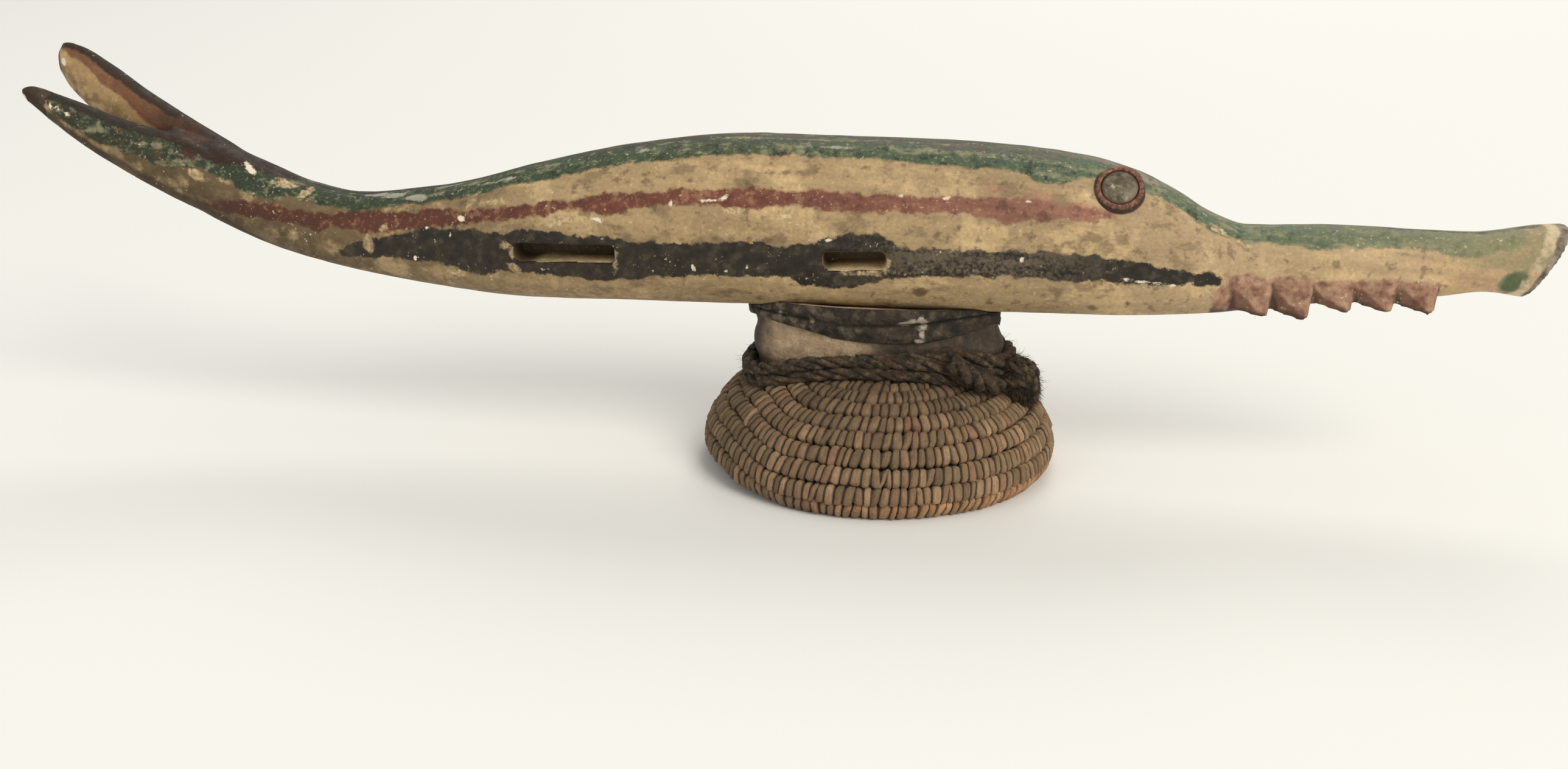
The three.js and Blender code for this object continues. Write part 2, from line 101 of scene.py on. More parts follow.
# The fish
# One log, carved with an adze and painted: a long body that thins to the tail's fork, a head with two
# raised eye rings, a thin jaw with saw teeth and a mouth cut off at a slant, and two slots a side.
FORK = -372
BACK = [(FORK, 191), (-345, 183), (-315, 171), (-285, 159), (-255, 154), (-205, 159), (-142, 175),
        (-73, 190.5), (0, 198), (95, 197.5), (150, 195), (190, 190.5), (218, 183), (240, 172.5),
        (262, 159.5), (282, 153.5), (330, 155), (405, 154), (445, 160), (461, 161)]
BELLY = [(FORK, 151), (-340, 133.5), (-300, 117.5), (-250, 106.5), (-200, 99), (-136, 95), (-60, 96.5),
         (60, 98), (200, 99.5), (262, 103), (335, 112), (390, 117.5), (415, 121.3), (435, 119), (461, 117)]
FLANK = [(FORK, 16), (-345, 20.5), (-300, 22), (-250, 23.5), (-200, 28), (-136, 35), (-60, 39),
         (110, 39), (190, 37), (235, 33.5), (258, 29.5), (285, 22), (330, 20.5), (410, 18), (443, 20),
         (461, 21.5)]
BACK_SQUARENESS, BELLY_SQUARENESS, PRONG_SQUARENESS = 2.25, 2.9, 2.4
LOWER_LIP, UPPER_LIP = (434, 118), (455, 159)
MOUTH_LEAN = (UPPER_LIP[0] - LOWER_LIP[0]) / (UPPER_LIP[1] - LOWER_LIP[1])
MOUTH_MIDDLE = ((LOWER_LIP[0] + UPPER_LIP[0]) / 2, (LOWER_LIP[1] + UPPER_LIP[1]) / 2)
LEAN_START = 385
MOUTH_DISH = ((0.93, -0.6), (0.86, -0.2), (0.8, 1.2), (0.66, 2.6), (0.4, 3.6), (0.15, 4))  # size, depth
# along, top, bottom, inner face, outer face
NEAR_PRONG = [(-300, 160, 121, -4, 17), (-328, 171.5, 130, -4, 20.5), (-350, 183, 141, -2.5, 22.5),
              (-372, 190.5, 152, 1, 23.5), (-395, 198, 166, 5.5, 25), (-418, 207.5, 181, 10.5, 26.5),
              (-436, 214.5, 196, 15, 27), (-447, 218, 206, 18.5, 26.5), (-453.5, 217, 211, 21.5, 24.5)]
FAR_PRONG = [(-300, 162, 121, -4, 17), (-328, 174, 131, -4, 20.5), (-350, 186.5, 143, -2.5, 22.5),
             (-372, 198, 154.5, 1, 23.5), (-395, 211, 168, 5.5, 25.5), (-418, 226, 184, 9.5, 27.5),
             (-437, 236.5, 199.5, 14, 29), (-449, 239, 211, 17.5, 29), (-455, 232, 221, 21, 27)]
PRONG_BEGINS, PRONG_TIP = -345, -455
TOOTH_START, TOOTH_PITCH, TOOTH_LENGTH, TOOTH_CROWN = 273.5, 22.8, 22.3, 130.8
TOOTH_POINTS = (105, 104.2, 109.3, 110, 110)  # heights
SLOTS = ((-114.5, 130, 63), (58.5, 133, 37.5))  # along, height, length
SLOT_HEIGHT, SLOT_DEPTH, SLOT_RISE = 11, 23, math.radians(2.3)
EYE_ALONG = 206.4
EYES = {-1: (24.8, 177.6, math.radians(38)), 1: (31, 167.5, math.radians(24))}  # side: out, height, tilt
COLLAR_RADIUS, COLLAR_PROUD, EYE_RADIUS, SEAT_DEPTH = 13.8, 3, 10.5, 2.2
FISH_SKIN = 1.7  # size of the faces of the finished carving
LONG_WAVES, FACETS = (0.45, (0.4, 1, 1), 17, 1), (0.14, (0.5, 1, 1), 4.5, 2)  # height, squeeze, size, seed
SMOOTH_ROUND_EYE = (16, 22)
LATTICE = 32


def smooth_line(points):
    """A line through (place, value) points that rises and falls only where they do: on each stretch a
    cubic in t from one value to the next, whose slopes at the points are the harmonic means of the
    slopes on both sides, or nought where these differ in sign."""
    at, value = np.array(sorted(points), float).T
    width = np.diff(at)
    rise = np.diff(value) / width
    near, far = 2 * width[1:] + width[:-1], width[1:] + 2 * width[:-1]
    same_way = rise[:-1] * rise[1:] > 0
    before, after = np.where(same_way, rise[:-1], 1), np.where(same_way, rise[1:], 1)
    inner = np.where(same_way, (near + far) / (near / before + far / after), 0)
    slope = np.concatenate([rise[:1], inner, rise[-1:]])

    def line(place):
        """The line's value at a place, or at an array of them."""
        i = np.clip(np.searchsorted(at, place) - 1, 0, len(width) - 1)
        t = np.clip((place - at[i]) / width[i], 0, 1)
        bow = t * (1 - t) * ((1 - t) * slope[i] - t * slope[i + 1])
        return value[i] + (value[i + 1] - value[i]) * t * t * (3 - 2 * t) + width[i] * bow

    return line


def lines_along(rows):
    """A smooth line for each column of some rows after the first, which holds the places."""
    places, *columns = np.array(rows, float).T
    return [smooth_line(zip(places, column)) for column in columns]


def eased(value, start, end):
    """0 before start, 1 beyond end, and a smooth 3t² - 2t³ between them; start may be the greater."""
    t = np.clip((value - start) / (end - start), 0, 1)
    return t * t * (3 - 2 * t)


def signed_power(value, power):
    """The power of a value's size, with the value's own sign."""
    return np.sign(value) * np.abs(value) ** power


def unevenness(places, size, seed):
    """Smooth random heights from -1 to 1 in space: random values on a lattice of that size, blended
    between the eight corners round a place by 3t² - 2t³ each way."""
    lattice = np.random.default_rng(seed).uniform(-1, 1, (LATTICE, LATTICE, LATTICE))
    scaled = places / size
    cell = np.floor(scaled).astype(int)
    t = eased(scaled - cell, 0, 1)
    total = np.zeros(len(places))
    for corner in np.ndindex(2, 2, 2):
        share = np.prod(np.where(corner, t, 1 - t), axis=1)
        total += share * lattice[tuple(((cell + corner) % LATTICE).T)]
    return total


def layered(places, *layers):
    """The sum of several layers of unevenness, each with its height, squeeze, size and seed."""
    return sum(height * unevenness(places * squeeze, size, seed) for height, squeeze, size, seed in layers)


def full_turn(sides, start=0.0):
    """The angles of a ring's corners, evenly round it."""
    return 2 * np.pi * (np.arange(sides) + start) / sides


def skin(rows, columns, loop=False):
    """Two triangles for each cell of a grid that closes round its columns, and round its rows if it is
    a loop. Otherwise a fan closes each end, on two more places after the grid's own."""
    i, k = np.indices((rows if loop else rows - 1, columns)).reshape(2, -1)
    after, beside = (i + 1) % rows, (k + 1) % columns
    a, b, c, d = i * columns + k, i * columns + beside, after * columns + beside, after * columns + k
    faces = [np.c_[a, b, c], np.c_[a, c, d]]
    if not loop:
        k, first, last = np.arange(columns), rows * columns, (rows - 1) * columns
        beside = (k + 1) % columns
        faces += [np.c_[np.full(columns, first), beside, k]]
        faces += [np.c_[np.full(columns, first + 1), last + k, last + beside]]
    return np.concatenate(faces)


def closed(grid, loop=False):
    """Places and faces of a closed body from a grid of places, rows by columns by 3."""
    rows, columns = grid.shape[:2]
    places = grid.reshape(-1, 3)
    if not loop:
        places = np.vstack([places, grid[0].mean(0), grid[-1].mean(0)])
    faces = skin(rows, columns, loop)
    a, b, c = (places[faces[:, k]] - places.mean(0) for k in range(3))
    outwards = np.einsum("ij,ij->", a, np.cross(b, c)) > 0
    return places, faces if outwards else faces[:, ::-1]


def together(bodies):
    """Several bodies' places and faces as one."""
    starts = np.cumsum([0] + [len(places) for places, _ in bodies])
    faces = [faces + start for (_, faces), start in zip(bodies, starts)]
    return np.vstack([places for places, _ in bodies]), np.vstack(faces)


def piece(name, places, faces):
    """An object at the origin from places in millimetres and triangles."""
    mesh = bpy.data.meshes.new(name)
    mesh.vertices.add(len(places))
    mesh.vertices.foreach_set("co", np.asarray(places / 1000, np.float32).ravel())
    mesh.loops.add(3 * len(faces))
    mesh.loops.foreach_set("vertex_index", np.asarray(faces, np.int32).ravel())
    mesh.polygons.add(len(faces))
    mesh.polygons.foreach_set("loop_start", np.arange(0, 3 * len(faces), 3, dtype=np.int32))
    mesh.update(calc_edges=True)
    mesh.polygons.foreach_set("use_smooth", np.full(len(faces), True))
    made = bpy.data.objects.new(name, mesh)
    bpy.context.scene.collection.objects.link(made)
    return made


def note(part, **measures):
    """Keeps one number for each vertex under each name, for the material."""
    for name, values in measures.items():
        attribute = part.data.attributes.new(name, "FLOAT", "POINT")
        attribute.data.foreach_set("value", np.asarray(values, np.float32))


def oval(turn, across, up, squareness):
    """A point of a squarish oval: each half size times the cosine or sine to the power 2/squareness."""
    power = 2 / squareness
    return across * signed_power(np.cos(turn), power), up * signed_power(np.sin(turn), power)


back, belly, flank = smooth_line(BACK), smooth_line(BELLY), smooth_line(FLANK)


def middle_and_half(x):
    """The height of the log's middle at a place along it, and half its depth there."""
    return (back(x) + belly(x)) / 2, (back(x) - belly(x)) / 2


def log_body(rings=380, sides=96):
    """The log: at each place along it an oval between belly and back, rounder above than below. Towards
    the mouth the rings lean until the last lies in the mouth's plane, and then close in over its dish.
    A few rounds settle where a leaning ring's points lie along the log."""
    start = np.linspace(FORK, MOUTH_MIDDLE[0], rings)[:, None]
    turn = full_turn(sides, 0.5)[None, :]
    lean = MOUTH_LEAN * eased(start, LEAN_START, MOUTH_MIDDLE[0])
    squareness = np.where(np.sin(turn) > 0, BACK_SQUARENESS, BELLY_SQUARENESS)
    x = start + 0 * turn
    for _ in range(5):
        middle, half = middle_and_half(x)
        y, z = oval(turn, flank(x), half, squareness)
        z = middle + z
        x = start + lean * (z - MOUTH_MIDDLE[1])
    grid = np.stack([x, y, z], axis=2)
    inwards = np.array([-1, 0, MOUTH_LEAN]) / math.hypot(1, MOUTH_LEAN)
    centre = grid[-1].mean(0)
    dish = [centre + size * (grid[-1] - centre) + depth * inwards for size, depth in MOUTH_DISH]
    return closed(np.concatenate([grid, np.array(dish)]))


def prong_body(stations, side, rings=70, sides=40):
    """A prong of the tail: ovals along it, whose top, bottom and two faces follow smooth lines."""
    top, bottom, inner, outer = lines_along(stations)
    x = np.linspace(stations[0][0], stations[-1][0], rings)[:, None]
    turn = full_turn(sides)[None, :]
    y, z = oval(turn, (outer(x) - inner(x)) / 2, (top(x) - bottom(x)) / 2, PRONG_SQUARENESS)
    y = side * (inner(x) + outer(x)) / 2 + y
    return closed(np.stack([x + 0 * turn, y, (top(x) + bottom(x)) / 2 + z], axis=2))


def tooth_body(index, side):
    """A saw tooth: the hull of thirteen corners, flat outside, cut back under a point at its far end."""
    start = TOOTH_START + index * TOOTH_PITCH
    end, edge, point, crown = start + TOOTH_LENGTH, min(flank(start), 22), TOOTH_POINTS[index], TOOTH_CROWN
    root, proud = edge - 10, edge + 3
    corners = [
        (start + 2, root, crown - 4), (end - 1, root, crown - 4), (start, root, point + 7.6),
        (end - 3, root, point + 4), (start + 4, edge + 0.4, crown), (end - 2, edge + 0.8, crown),
        (start + 2, edge, crown - 7), (start, edge - 2.5, point + 4.6), (end, proud - 0.8, crown - 9),
        (end - 9, proud, crown - 11), (end - 1, proud - 1, point + 2), (end - 4.5, proud - 1.6, point),
        (end - 6, proud, point + 4.5)]
    hull = bmesh.new()
    for x, y, z in corners:
        hull.verts.new((x, side * y, z))
    bmesh.ops.convex_hull(hull, input=hull.verts)
    bmesh.ops.delete(hull, geom=[v for v in hull.verts if not v.link_faces], context="VERTS")
    hull.verts.index_update()
    places = np.array([v.co for v in hull.verts])
    faces = np.array([[v.index for v in f.verts] for f in hull.faces])
    hull.free()
    return places, faces


def eye_frame(side):
    """The middle of an eye's collar, and three directions: across, up the head, and out of it."""
    out, height, tilt = EYES[side]
    outwards = np.array([0, side * math.cos(tilt), math.sin(tilt)])
    across = np.array([1.0, 0, 0])
    return np.array([EYE_ALONG, side * out, height]), across, np.cross(outwards, across), outwards


def from_the_eye(places, side):
    """How far each place is from an eye's axis, and how high above its collar's foot."""
    centre, *_, out = eye_frame(side)
    reach = places - centre
    height = reach @ out
    return np.linalg.norm(reach - height[:, None] * out, axis=1), height


def turned_on_eye(profile, side, sides=48, wobble=0.0):
    """A round body on an eye's axis: its [radius, height] profile carried round, each radius a little
    uneven by the sine of two and three times the turn."""
    centre, across, up, out = eye_frame(side)
    radius, height = np.array(profile, float).T
    turn = full_turn(sides)[None, :, None]
    uneven = 1 + wobble * (np.sin(2 * turn + 1 + side) + 0.6 * np.sin(3 * turn + 2 * side))
    circle = np.cos(turn) * across + np.sin(turn) * up
    return closed(centre + radius[:, None, None] * uneven * circle + height[:, None, None] * out)


def slot_body(slot, side):
    """A slot's cut: a slanted box that reaches from the slot's floor to well outside the flank."""
    along, height, length = slot
    u, v, w = np.array([(a, b, c) for a in (-1, 1) for b in (-1, 1) for c in (-1, 1)]).T
    x, z, c, s = u * length / 2, w * SLOT_HEIGHT / 2, math.cos(SLOT_RISE), math.sin(SLOT_RISE)
    inner = side * (flank(along) - SLOT_DEPTH)
    y = np.where(v < 0, inner, inner + side * 2 * SLOT_DEPTH)
    faces = np.array([(0, 1, 3), (0, 3, 2), (4, 6, 7), (4, 7, 5), (0, 4, 5), (0, 5, 1),
                      (2, 3, 7), (2, 7, 6), (0, 2, 6), (0, 6, 4), (1, 5, 7), (1, 7, 3)])
    return np.c_[along + x * c - z * s, y, height + x * s + z * c], faces if side > 0 else faces[:, ::-1]


def add_modifier(part, kind, **settings):
    """Adds a modifier of that kind, with its settings."""
    modifier = part.modifiers.new(kind.lower(), kind)
    for name, value in settings.items():
        setattr(modifier, name, value)


def carve(part, *tools):
    """Joins each (tool, "UNION") to the part and cuts each (tool, "DIFFERENCE") out of it, in turn."""
    for tool, way in tools:
        add_modifier(part, "BOOLEAN", object=tool, operation=way, solver="EXACT")


SIDES = (-1, 1)
fish = piece("carved_fish", *log_body())
near_prong = piece("near_prong", *prong_body(NEAR_PRONG, -1))
far_prong = piece("far_prong", *prong_body(FAR_PRONG, 1))
teeth = piece("teeth", *together([tooth_body(i, side) for i in range(len(TOOTH_POINTS)) for side in SIDES]))
slots = piece("slots", *together([slot_body(slot, side) for slot in SLOTS for side in SIDES]))
carve(fish, (near_prong, "UNION"), (far_prong, "UNION"), (teeth, "UNION"), (slots, "DIFFERENCE"))
add_modifier(fish, "REMESH", mode="VOXEL", voxel_size=FISH_SKIN / 1000)
add_modifier(fish, "SMOOTH", factor=0.5, iterations=1)

# The rings round the eyes and the seats in them are joined and cut after that, to stay crisp
rim, seat = COLLAR_PROUD, COLLAR_PROUD - SEAT_DEPTH
collar_line = [(COLLAR_RADIUS + 0.3, -9), (COLLAR_RADIUS + 0.2, 0), (COLLAR_RADIUS, 1.5),
               (COLLAR_RADIUS - 0.5, 2.4), (COLLAR_RADIUS - 1.4, rim), (3, rim)]
seat_line = [(EYE_RADIUS + 0.3, rim + 3), (EYE_RADIUS + 0.3, seat), (3, seat)]
collars = piece("collars", *together([turned_on_eye(collar_line, side, wobble=0.012) for side in SIDES]))
seats = piece("seats", *together([turned_on_eye(seat_line, side) for side in SIDES]))
carve(fish, (collars, "UNION"), (seats, "DIFFERENCE"))
carved = bpy.data.meshes.new_from_object(fish.evaluated_get(bpy.context.evaluated_depsgraph_get()))
fish.modifiers.clear()
fish.data = carved
for tool in (near_prong, far_prong, teeth, slots, collars, seats):
    bpy.data.objects.remove(tool)


def read_vertices(collection, name):
    """One vector for each vertex, as rows."""
    values = np.empty(3 * len(collection), np.float32)
    collection.foreach_get(name, values)
    return values.reshape(-1, 3).astype(float)


def move_vertices(part, places):
    """Puts the vertices at places in millimetres."""
    part.data.vertices.foreach_set("co", np.asarray(places / 1000, np.float32).ravel())
    part.data.update()


# The knife's unevenness: long low waves along the log, and short shallow facets
places = read_vertices(fish.data.vertices, "co") * 1000
normals = read_vertices(fish.data.vertex_normals, "vector")
eye_gap = np.min([np.linalg.norm(places - eye_frame(side)[0], axis=1) for side in SIDES], axis=0)
waves = layered(places, LONG_WAVES, FACETS) * eased(eye_gap, *SMOOTH_ROUND_EYE)
places += normals * waves[:, None]
move_vertices(fish, places)

x, y, z = places.T
side = np.where(y < 0, -1, 1)
on_prong = eased(x, PRONG_BEGINS, PRONG_BEGINS - 30)


def round_the_log(middle, half, across, half_across):
    """How high round an oval each vertex lies, in degrees from -90 at the belly to 90 at the ridge, and
    the millimetres to a degree there. A negative share across is the inner face of a prong."""
    up = (z - middle) / half
    angle = np.arctan2(up, np.abs(across))
    reach = np.hypot(up, across) * np.hypot(half * np.cos(angle), half_across * np.sin(angle))
    return np.degrees(angle), np.radians(reach)


log_girth, log_metric = round_the_log(*middle_and_half(x), np.abs(y) / flank(x), flank(x))
prong_lines = zip(lines_along(NEAR_PRONG), lines_along(FAR_PRONG))
top, bottom, inner, outer = (np.where(side < 0, near(x), far(x)) for near, far in prong_lines)
half_thick = (outer - inner) / 2
across = (side * y - (inner + outer) / 2) / half_thick
prong_girth, prong_metric = round_the_log((top + bottom) / 2, (top - bottom) / 2, across, half_thick)
girth = log_girth + (prong_girth - log_girth) * on_prong
metric = log_metric + (prong_metric - log_metric) * on_prong
wander = np.where(side > 0, 2.5 * np.sin(x / 41 + 1) + 1.5 * np.sin(x / 17), 0)  # the far flank's own hand

# The edges of the painted bands: along, degrees round the log; and where each begins and ends
GREEN_LOW = [(-455, 20), (-440, 10), (-432, -8), (-424, -12), (-408, -15), (-395, -1), (-382, 2),
             (-370, 4), (-353, 16), (-344, 24), (-325, 22), (-311, 21), (-292, 38), (-280, 44), (-252, 44),
             (-214, 50), (-152, 52), (-57, 54), (18, 55), (105, 52), (152, 50), (160, 43), (171, 44),
             (186, 51), (192, 54), (222, 56), (238, 54), (254, 52), (269, 48), (280, 46), (308, 42),
             (313, 34), (341, 38), (379, 35), (390, 27), (401, 20), (408, 22), (416, 30), (424, 35),
             (440, 50)]
GREEN_HIGH = [(-440, 60), (-433, 68), (-421, 82), (-390, 60), (-379, 75), (-370, 58), (-350, 36),
              (-333, 47), (-321, 58), (-308, 63), (-297, 74), (-285, 85), (-200, 86), (-127, 84), (-82, 76),
              (0, 79), (60, 75), (126, 71), (141, 76), (156, 67), (171, 72), (186, 80), (223, 65),
              (239, 72), (255, 79), (267, 76), (278, 84), (310, 86), (430, 84)]
RED_HIGH = [(-347, -20), (-332, -6), (-318, 9), (-305, 17), (-292, 24), (-278, 27), (-265, 35),
            (-252, 41), (-227, 42), (-196, 41), (-181, 38), (-165, 34), (-142, 32), (-91, 31), (-20, 29),
            (20, 29), (106, 28), (150, 30), (198, 30), (206, 27)]
RED_LOW = [(-347, -32), (-341, -31), (-326, -20), (-312, -11), (-299, -6), (-285, 3), (-272, 2),
           (-262, 14), (-237, 12), (-212, 19), (-180, 21), (-112, 22), (-83, 16), (-55, 20), (0, 16),
           (15, 19), (54, 16), (128, 18), (143, 14), (165, 18), (194, 21), (206, 26)]
BLACK_HIGH = [(-264, -22), (-258, -20), (-250, -6), (-234, 5), (-219, 13), (-199, 20), (-188, 18),
              (-172, 15), (-149, 8), (-142, 12), (-127, 9), (-112, 4), (-83, -1), (-76, -4), (-34, -7),
              (2, -6), (16, -8), (39, -3), (51, 1), (69, 2), (80, -2), (86, -6), (129, -6), (173, -4),
              (225, -4), (247, -2), (267, 1)]
BLACK_LOW = [(-264, -27), (-258, -27), (-239, -22), (-214, -18), (-189, -21), (-174, -27), (-143, -25),
             (-114, -29), (-92, -32), (-55, -30), (2, -29), (16, -29), (31, -34), (46, -37), (62, -34),
             (77, -28), (92, -26), (107, -24), (174, -23), (219, -21), (241, -18), (256, -15), (267, -10)]
STRIPE_LOW = [(-455, 45), (-445, 35), (-434, 31), (-421, 22), (-406, 24), (-396, 18), (-389, 13),
              (-372, 10)]
STRIPE_HIGH = [(-455, 80), (-372, 84)]
BROWN_HIGH = [(-455, 60), (-444, 20), (-436, -4), (-424, -16), (-408, -24), (-395, -26), (-382, -28),
              (-370, -26), (-353, -24), (-344, -26), (-330, -34), (-318, -44), (-300, -60), (-280, -78),
              (-262, -95)]
GREEN_ENDS, RED_ENDS, BLACK_ENDS, STRIPE_ENDS = (-436, 432), (-347, 206), (-262, 267), (-450, -350)
CROTCH = (-378, -350)  # the dark edges of the prongs fade out here
FLARE = (385, 425)
PATCH_ALONG, PATCH_HIGH, PATCH_HALF_SIZES, PATCH_SLANT = 427.5, -24, (7.2, 25), 0.12
FAR_OUTSIDE = -30  # the depth that is noted for a vertex outside every mark


def least(*depths):
    """The least of several depths at each vertex."""
    return functools.reduce(np.minimum, depths)


def inside(low, high, start, end):
    """How deep a vertex lies inside a painted band, in mm: the least of its distances to the band's
    lower and upper edge, round the log, and to its two ends."""
    turned = girth + wander
    deep = np.minimum(turned - smooth_line(low)(x), smooth_line(high)(x) - turned) * metric
    return least(deep, x - start, end - x)


outside = on_prong * np.minimum(across, 0) * half_thick  # below nought on a prong's inner face
before_crotch = eased(x, *CROTCH)
patch_x, patch_high = x - PATCH_ALONG - PATCH_SLANT * (girth + 20), girth - PATCH_HIGH
flare_patch = 6 * (1 - np.hypot(patch_x / PATCH_HALF_SIZES[0], patch_high / PATCH_HALF_SIZES[1]))
under_ridge = [(place, min(degrees + 10, 100)) for place, degrees in GREEN_HIGH]
green = np.maximum(np.minimum(inside(GREEN_LOW, under_ridge, *GREEN_ENDS), outside + 4), flare_patch)
stripe = inside(STRIPE_LOW, STRIPE_HIGH, *STRIPE_ENDS)
from_ridge = (girth - smooth_line(GREEN_HIGH)(x)) * metric
note(fish, green=green, red=inside(RED_LOW, RED_HIGH, *RED_ENDS),
     black=inside(BLACK_LOW, BLACK_HIGH, *BLACK_ENDS), brown=(smooth_line(BROWN_HIGH)(x) - girth) * metric,
     stripe=least(stripe, -outside - 1, (-358 - x) * 0.12),
     inner_face=least(-outside - 1.5, 4.5, (-354 - x) * 0.12),
     ridge=np.minimum(from_ridge, outside + 3 + 9 * before_crotch),
     crotch=eased(x, -398, -370) * eased(outside, 0.5, -2),
     flare_patch=flare_patch, flare_top=eased(x, *FLARE) * eased(girth, -15, 12))

# The prongs have a dark edge along the top and a thin one below and round the tip
EDGE_WIDTH, DARK_TIP, NO_EDGE = 3.4, -437, -9
from_edge = least(top - z, 1.9 * (z - bottom), 1.3 * (x - PRONG_TIP))
dark_edge = np.maximum(EDGE_WIDTH - from_edge, np.where(side < 0, DARK_TIP - x, NO_EDGE))
note(fish, dark_edge=np.where(x < PRONG_BEGINS, dark_edge + NO_EDGE * before_crotch, NO_EDGE))

# The rim of the mouth is grey, broad above and thin below, with a pale blotchy strip behind it that is
# partly pale paint and partly a painted highlight on the flare's ridge
mouth_depth = MOUTH_MIDDLE[0] + MOUTH_LEAN * (z - MOUTH_MIDDLE[1]) - x
rim_width = 2.5 + 3.5 * np.clip((z - LOWER_LIP[1]) / (UPPER_LIP[1] - LOWER_LIP[1]), 0, 1)
note(fish, rim=rim_width - np.maximum(mouth_depth, 0))

# The teeth are red-brown up to an uneven line, with painted shade in the gaps between them, underneath,
# and on the facet at each one's lower left
TEETH_TOP = [(262, 117), (272, 128), (283, 131), (293, 127.5), (300, 128.5), (316, 130), (321, 127),
             (331, 129.5), (341, 128.5), (346, 130), (364, 129.5), (369, 127.5), (380, 130), (389, 129)]
TEETH_ENDS = (264, 387.5)
tooth_paint = least(x - TEETH_ENDS[0], TEETH_ENDS[1] - x, smooth_line(TEETH_TOP)(x) - z, np.abs(y) - 9)
along_tooth = (x - TOOTH_START) % TOOTH_PITCH
tips = [(TOOTH_START + 20 + TOOTH_PITCH * index, height) for index, height in enumerate(TOOTH_POINTS)]
lowest = smooth_line(tips)(x)
underside = lowest + 0.22 * (TOOTH_PITCH - along_tooth) + 1.6 - z
shade_line = np.minimum(lowest + 3 + 0.9 * (17 - along_tooth), 124)
gaps = np.maximum(2.2 - along_tooth + 0.3 * (117 - z), along_tooth - 21.6)
note(fish, teeth=tooth_paint, tooth_shade=np.minimum(shade_line - z, tooth_paint + 0.8),
     teeth_dark=least(np.maximum(gaps, underside), tooth_paint + 0.8, 125.8 - z))

rings = []
for eye_side in SIDES:
    radius, height = from_the_eye(places, eye_side)
    rings.append(np.where(np.abs(height) < 9, COLLAR_RADIUS + 1.1 - radius, FAR_OUTSIDE))
note(fish, ring=np.maximum(*rings))

# Marks on the near flank as slanted ovals: along, height, half sizes, tilt in degrees. Where paint and
# ground are gone the wood is nearly white; where they are rubbed it is tan; some spots are dark.
CHIPS = [(-179, 147, 2.5, 1.9, 0), (-49, 163, 1.1, 2, 0), (-26, 165.5, 5.4, 0.9, 4),
         (-17, 168, 1.8, 0.8, 20), (-93, 152, 3.4, 1.3, -10), (-36, 125, 1.1, 2.5, 10),
         (-317, 168.8, 4.6, 1.1, -36),
         (-434, 206.3, 0.9, 2.2, 20), (-429.5, 205.5, 2.6, 0.9, -40), (-424.5, 202.5, 1.9, 1, -30),
         (-381, 184, 1.6, 0.9, -20), (-196, 133, 1.1, 1, 0), (-186, 137, 0.9, 1.3, 0),
         (-201, 140, 1, 0.8, 0), (44, 145.5, 2.3, 1, 14), (154, 138, 1.1, 1.5, 0), (84, 172, 1.3, 0.8, 0),
         (110, 171.5, 1.7, 0.8, 10), (156, 170.5, 1.5, 0.8, -10), (-452, 211, 2, 2.7, 0),
         (-210, 121, 0.9, 1.3, 0), (213, 127.8, 2.8, 0.7, -3), (222, 126.9, 3.2, 0.7, -4),
         (231, 126, 2.5, 0.7, -2), (239, 125, 2, 0.7, 0), (-17, 124, 0.9, 0.8, 0), (-4, 127, 0.8, 1, 0),
         (-60, 122, 0.9, 0.7, 0)]
SCRAPES = [(-183, 113.5, 6, 2.2, -6), (-116, 150, 7, 2.6, 20), (-175, 154, 1.7, 7, -35),
           (-160, 157, 7, 1.3, 8), (-348, 167, 6, 2.4, -25), (-296, 160, 7, 1.6, -20),
           (-283, 155, 3.4, 2.2, 10), (-10, 160, 6, 2.2, 0), (20, 158, 3, 3.6, 0), (-146, 119, 4, 1.7, -35),
           (-151, 133, 4, 2.4, 20), (-83, 126, 1.6, 5, 0), (-240, 128, 3, 4.6, 20), (65, 126, 10, 1, 2),
           (-146, 129.5, 3, 3.5, 0), (77, 131, 2.6, 4, 0), (-84, 131, 2.5, 4, 0), (270, 151, 9, 0.6, -28),
           (-230, 138, 2.6, 2, 30)]
# A crease pressed into the cheek behind the jaw. Among the spots it is painted dark, as shade in the
# crease; the scrape at 270 along beside it is a pale line, a painted highlight on its edge.
DENT = (270, 150, 8, 0.5, -28)
SPOTS = [(238, 144, 1.4, 1.3, 0), (138, 110, 1.7, 1.3, 0), (196, 109, 1.5, 1.1, 0), (215, 113, 1.2, 1.5, 0),
         (96, 115, 4.5, 3, 0), DENT, (58, 141.5, 21, 1.5, 2.3), (-20, 119, 2, 1.5, 0),
         (30, 170, 2, 1.3, 0), (-60, 140, 2.4, 1.2, 10), (170, 150, 1.4, 1, 0), (118, 155, 1.2, 1.6, 0)]
# The far flank has the first of these in other places, and a chip on its prong's tip
FAR_CHIPS = [(8 - 0.93 * along, height + 3 * math.sin(along), long, high, -slant)
             for along, height, long, high, slant in CHIPS[:12]] + [(-449, 227, 2, 2.8, 10)]
FAR_SCRAPES = [(20 - 0.9 * along, height - 2, long, high, -slant)
               for along, height, long, high, slant in SCRAPES[:13]]
# These are given round the log instead, as along, degrees round, half sizes and tilt
PINK = [(136, 37, 7, 2.6, -5), (165, 33, 8, 3.4, -10), (186, 30, 6, 2.6, 0)]
RUBBED = [(-238, 77, 8, 2.6, 8), (-226, 70, 7, 2.2, 0), (-212, 61, 7, 2.6, -10), (-221, 77, 4, 0.9, 0),
          (-190, 82, 8, 1, 6), (-160, 65, 9, 1, -5), (-60, 70, 8, 1, 2), (40, 66, 10, 1.2, -2)]
CHIP_DEPTH = 0.4


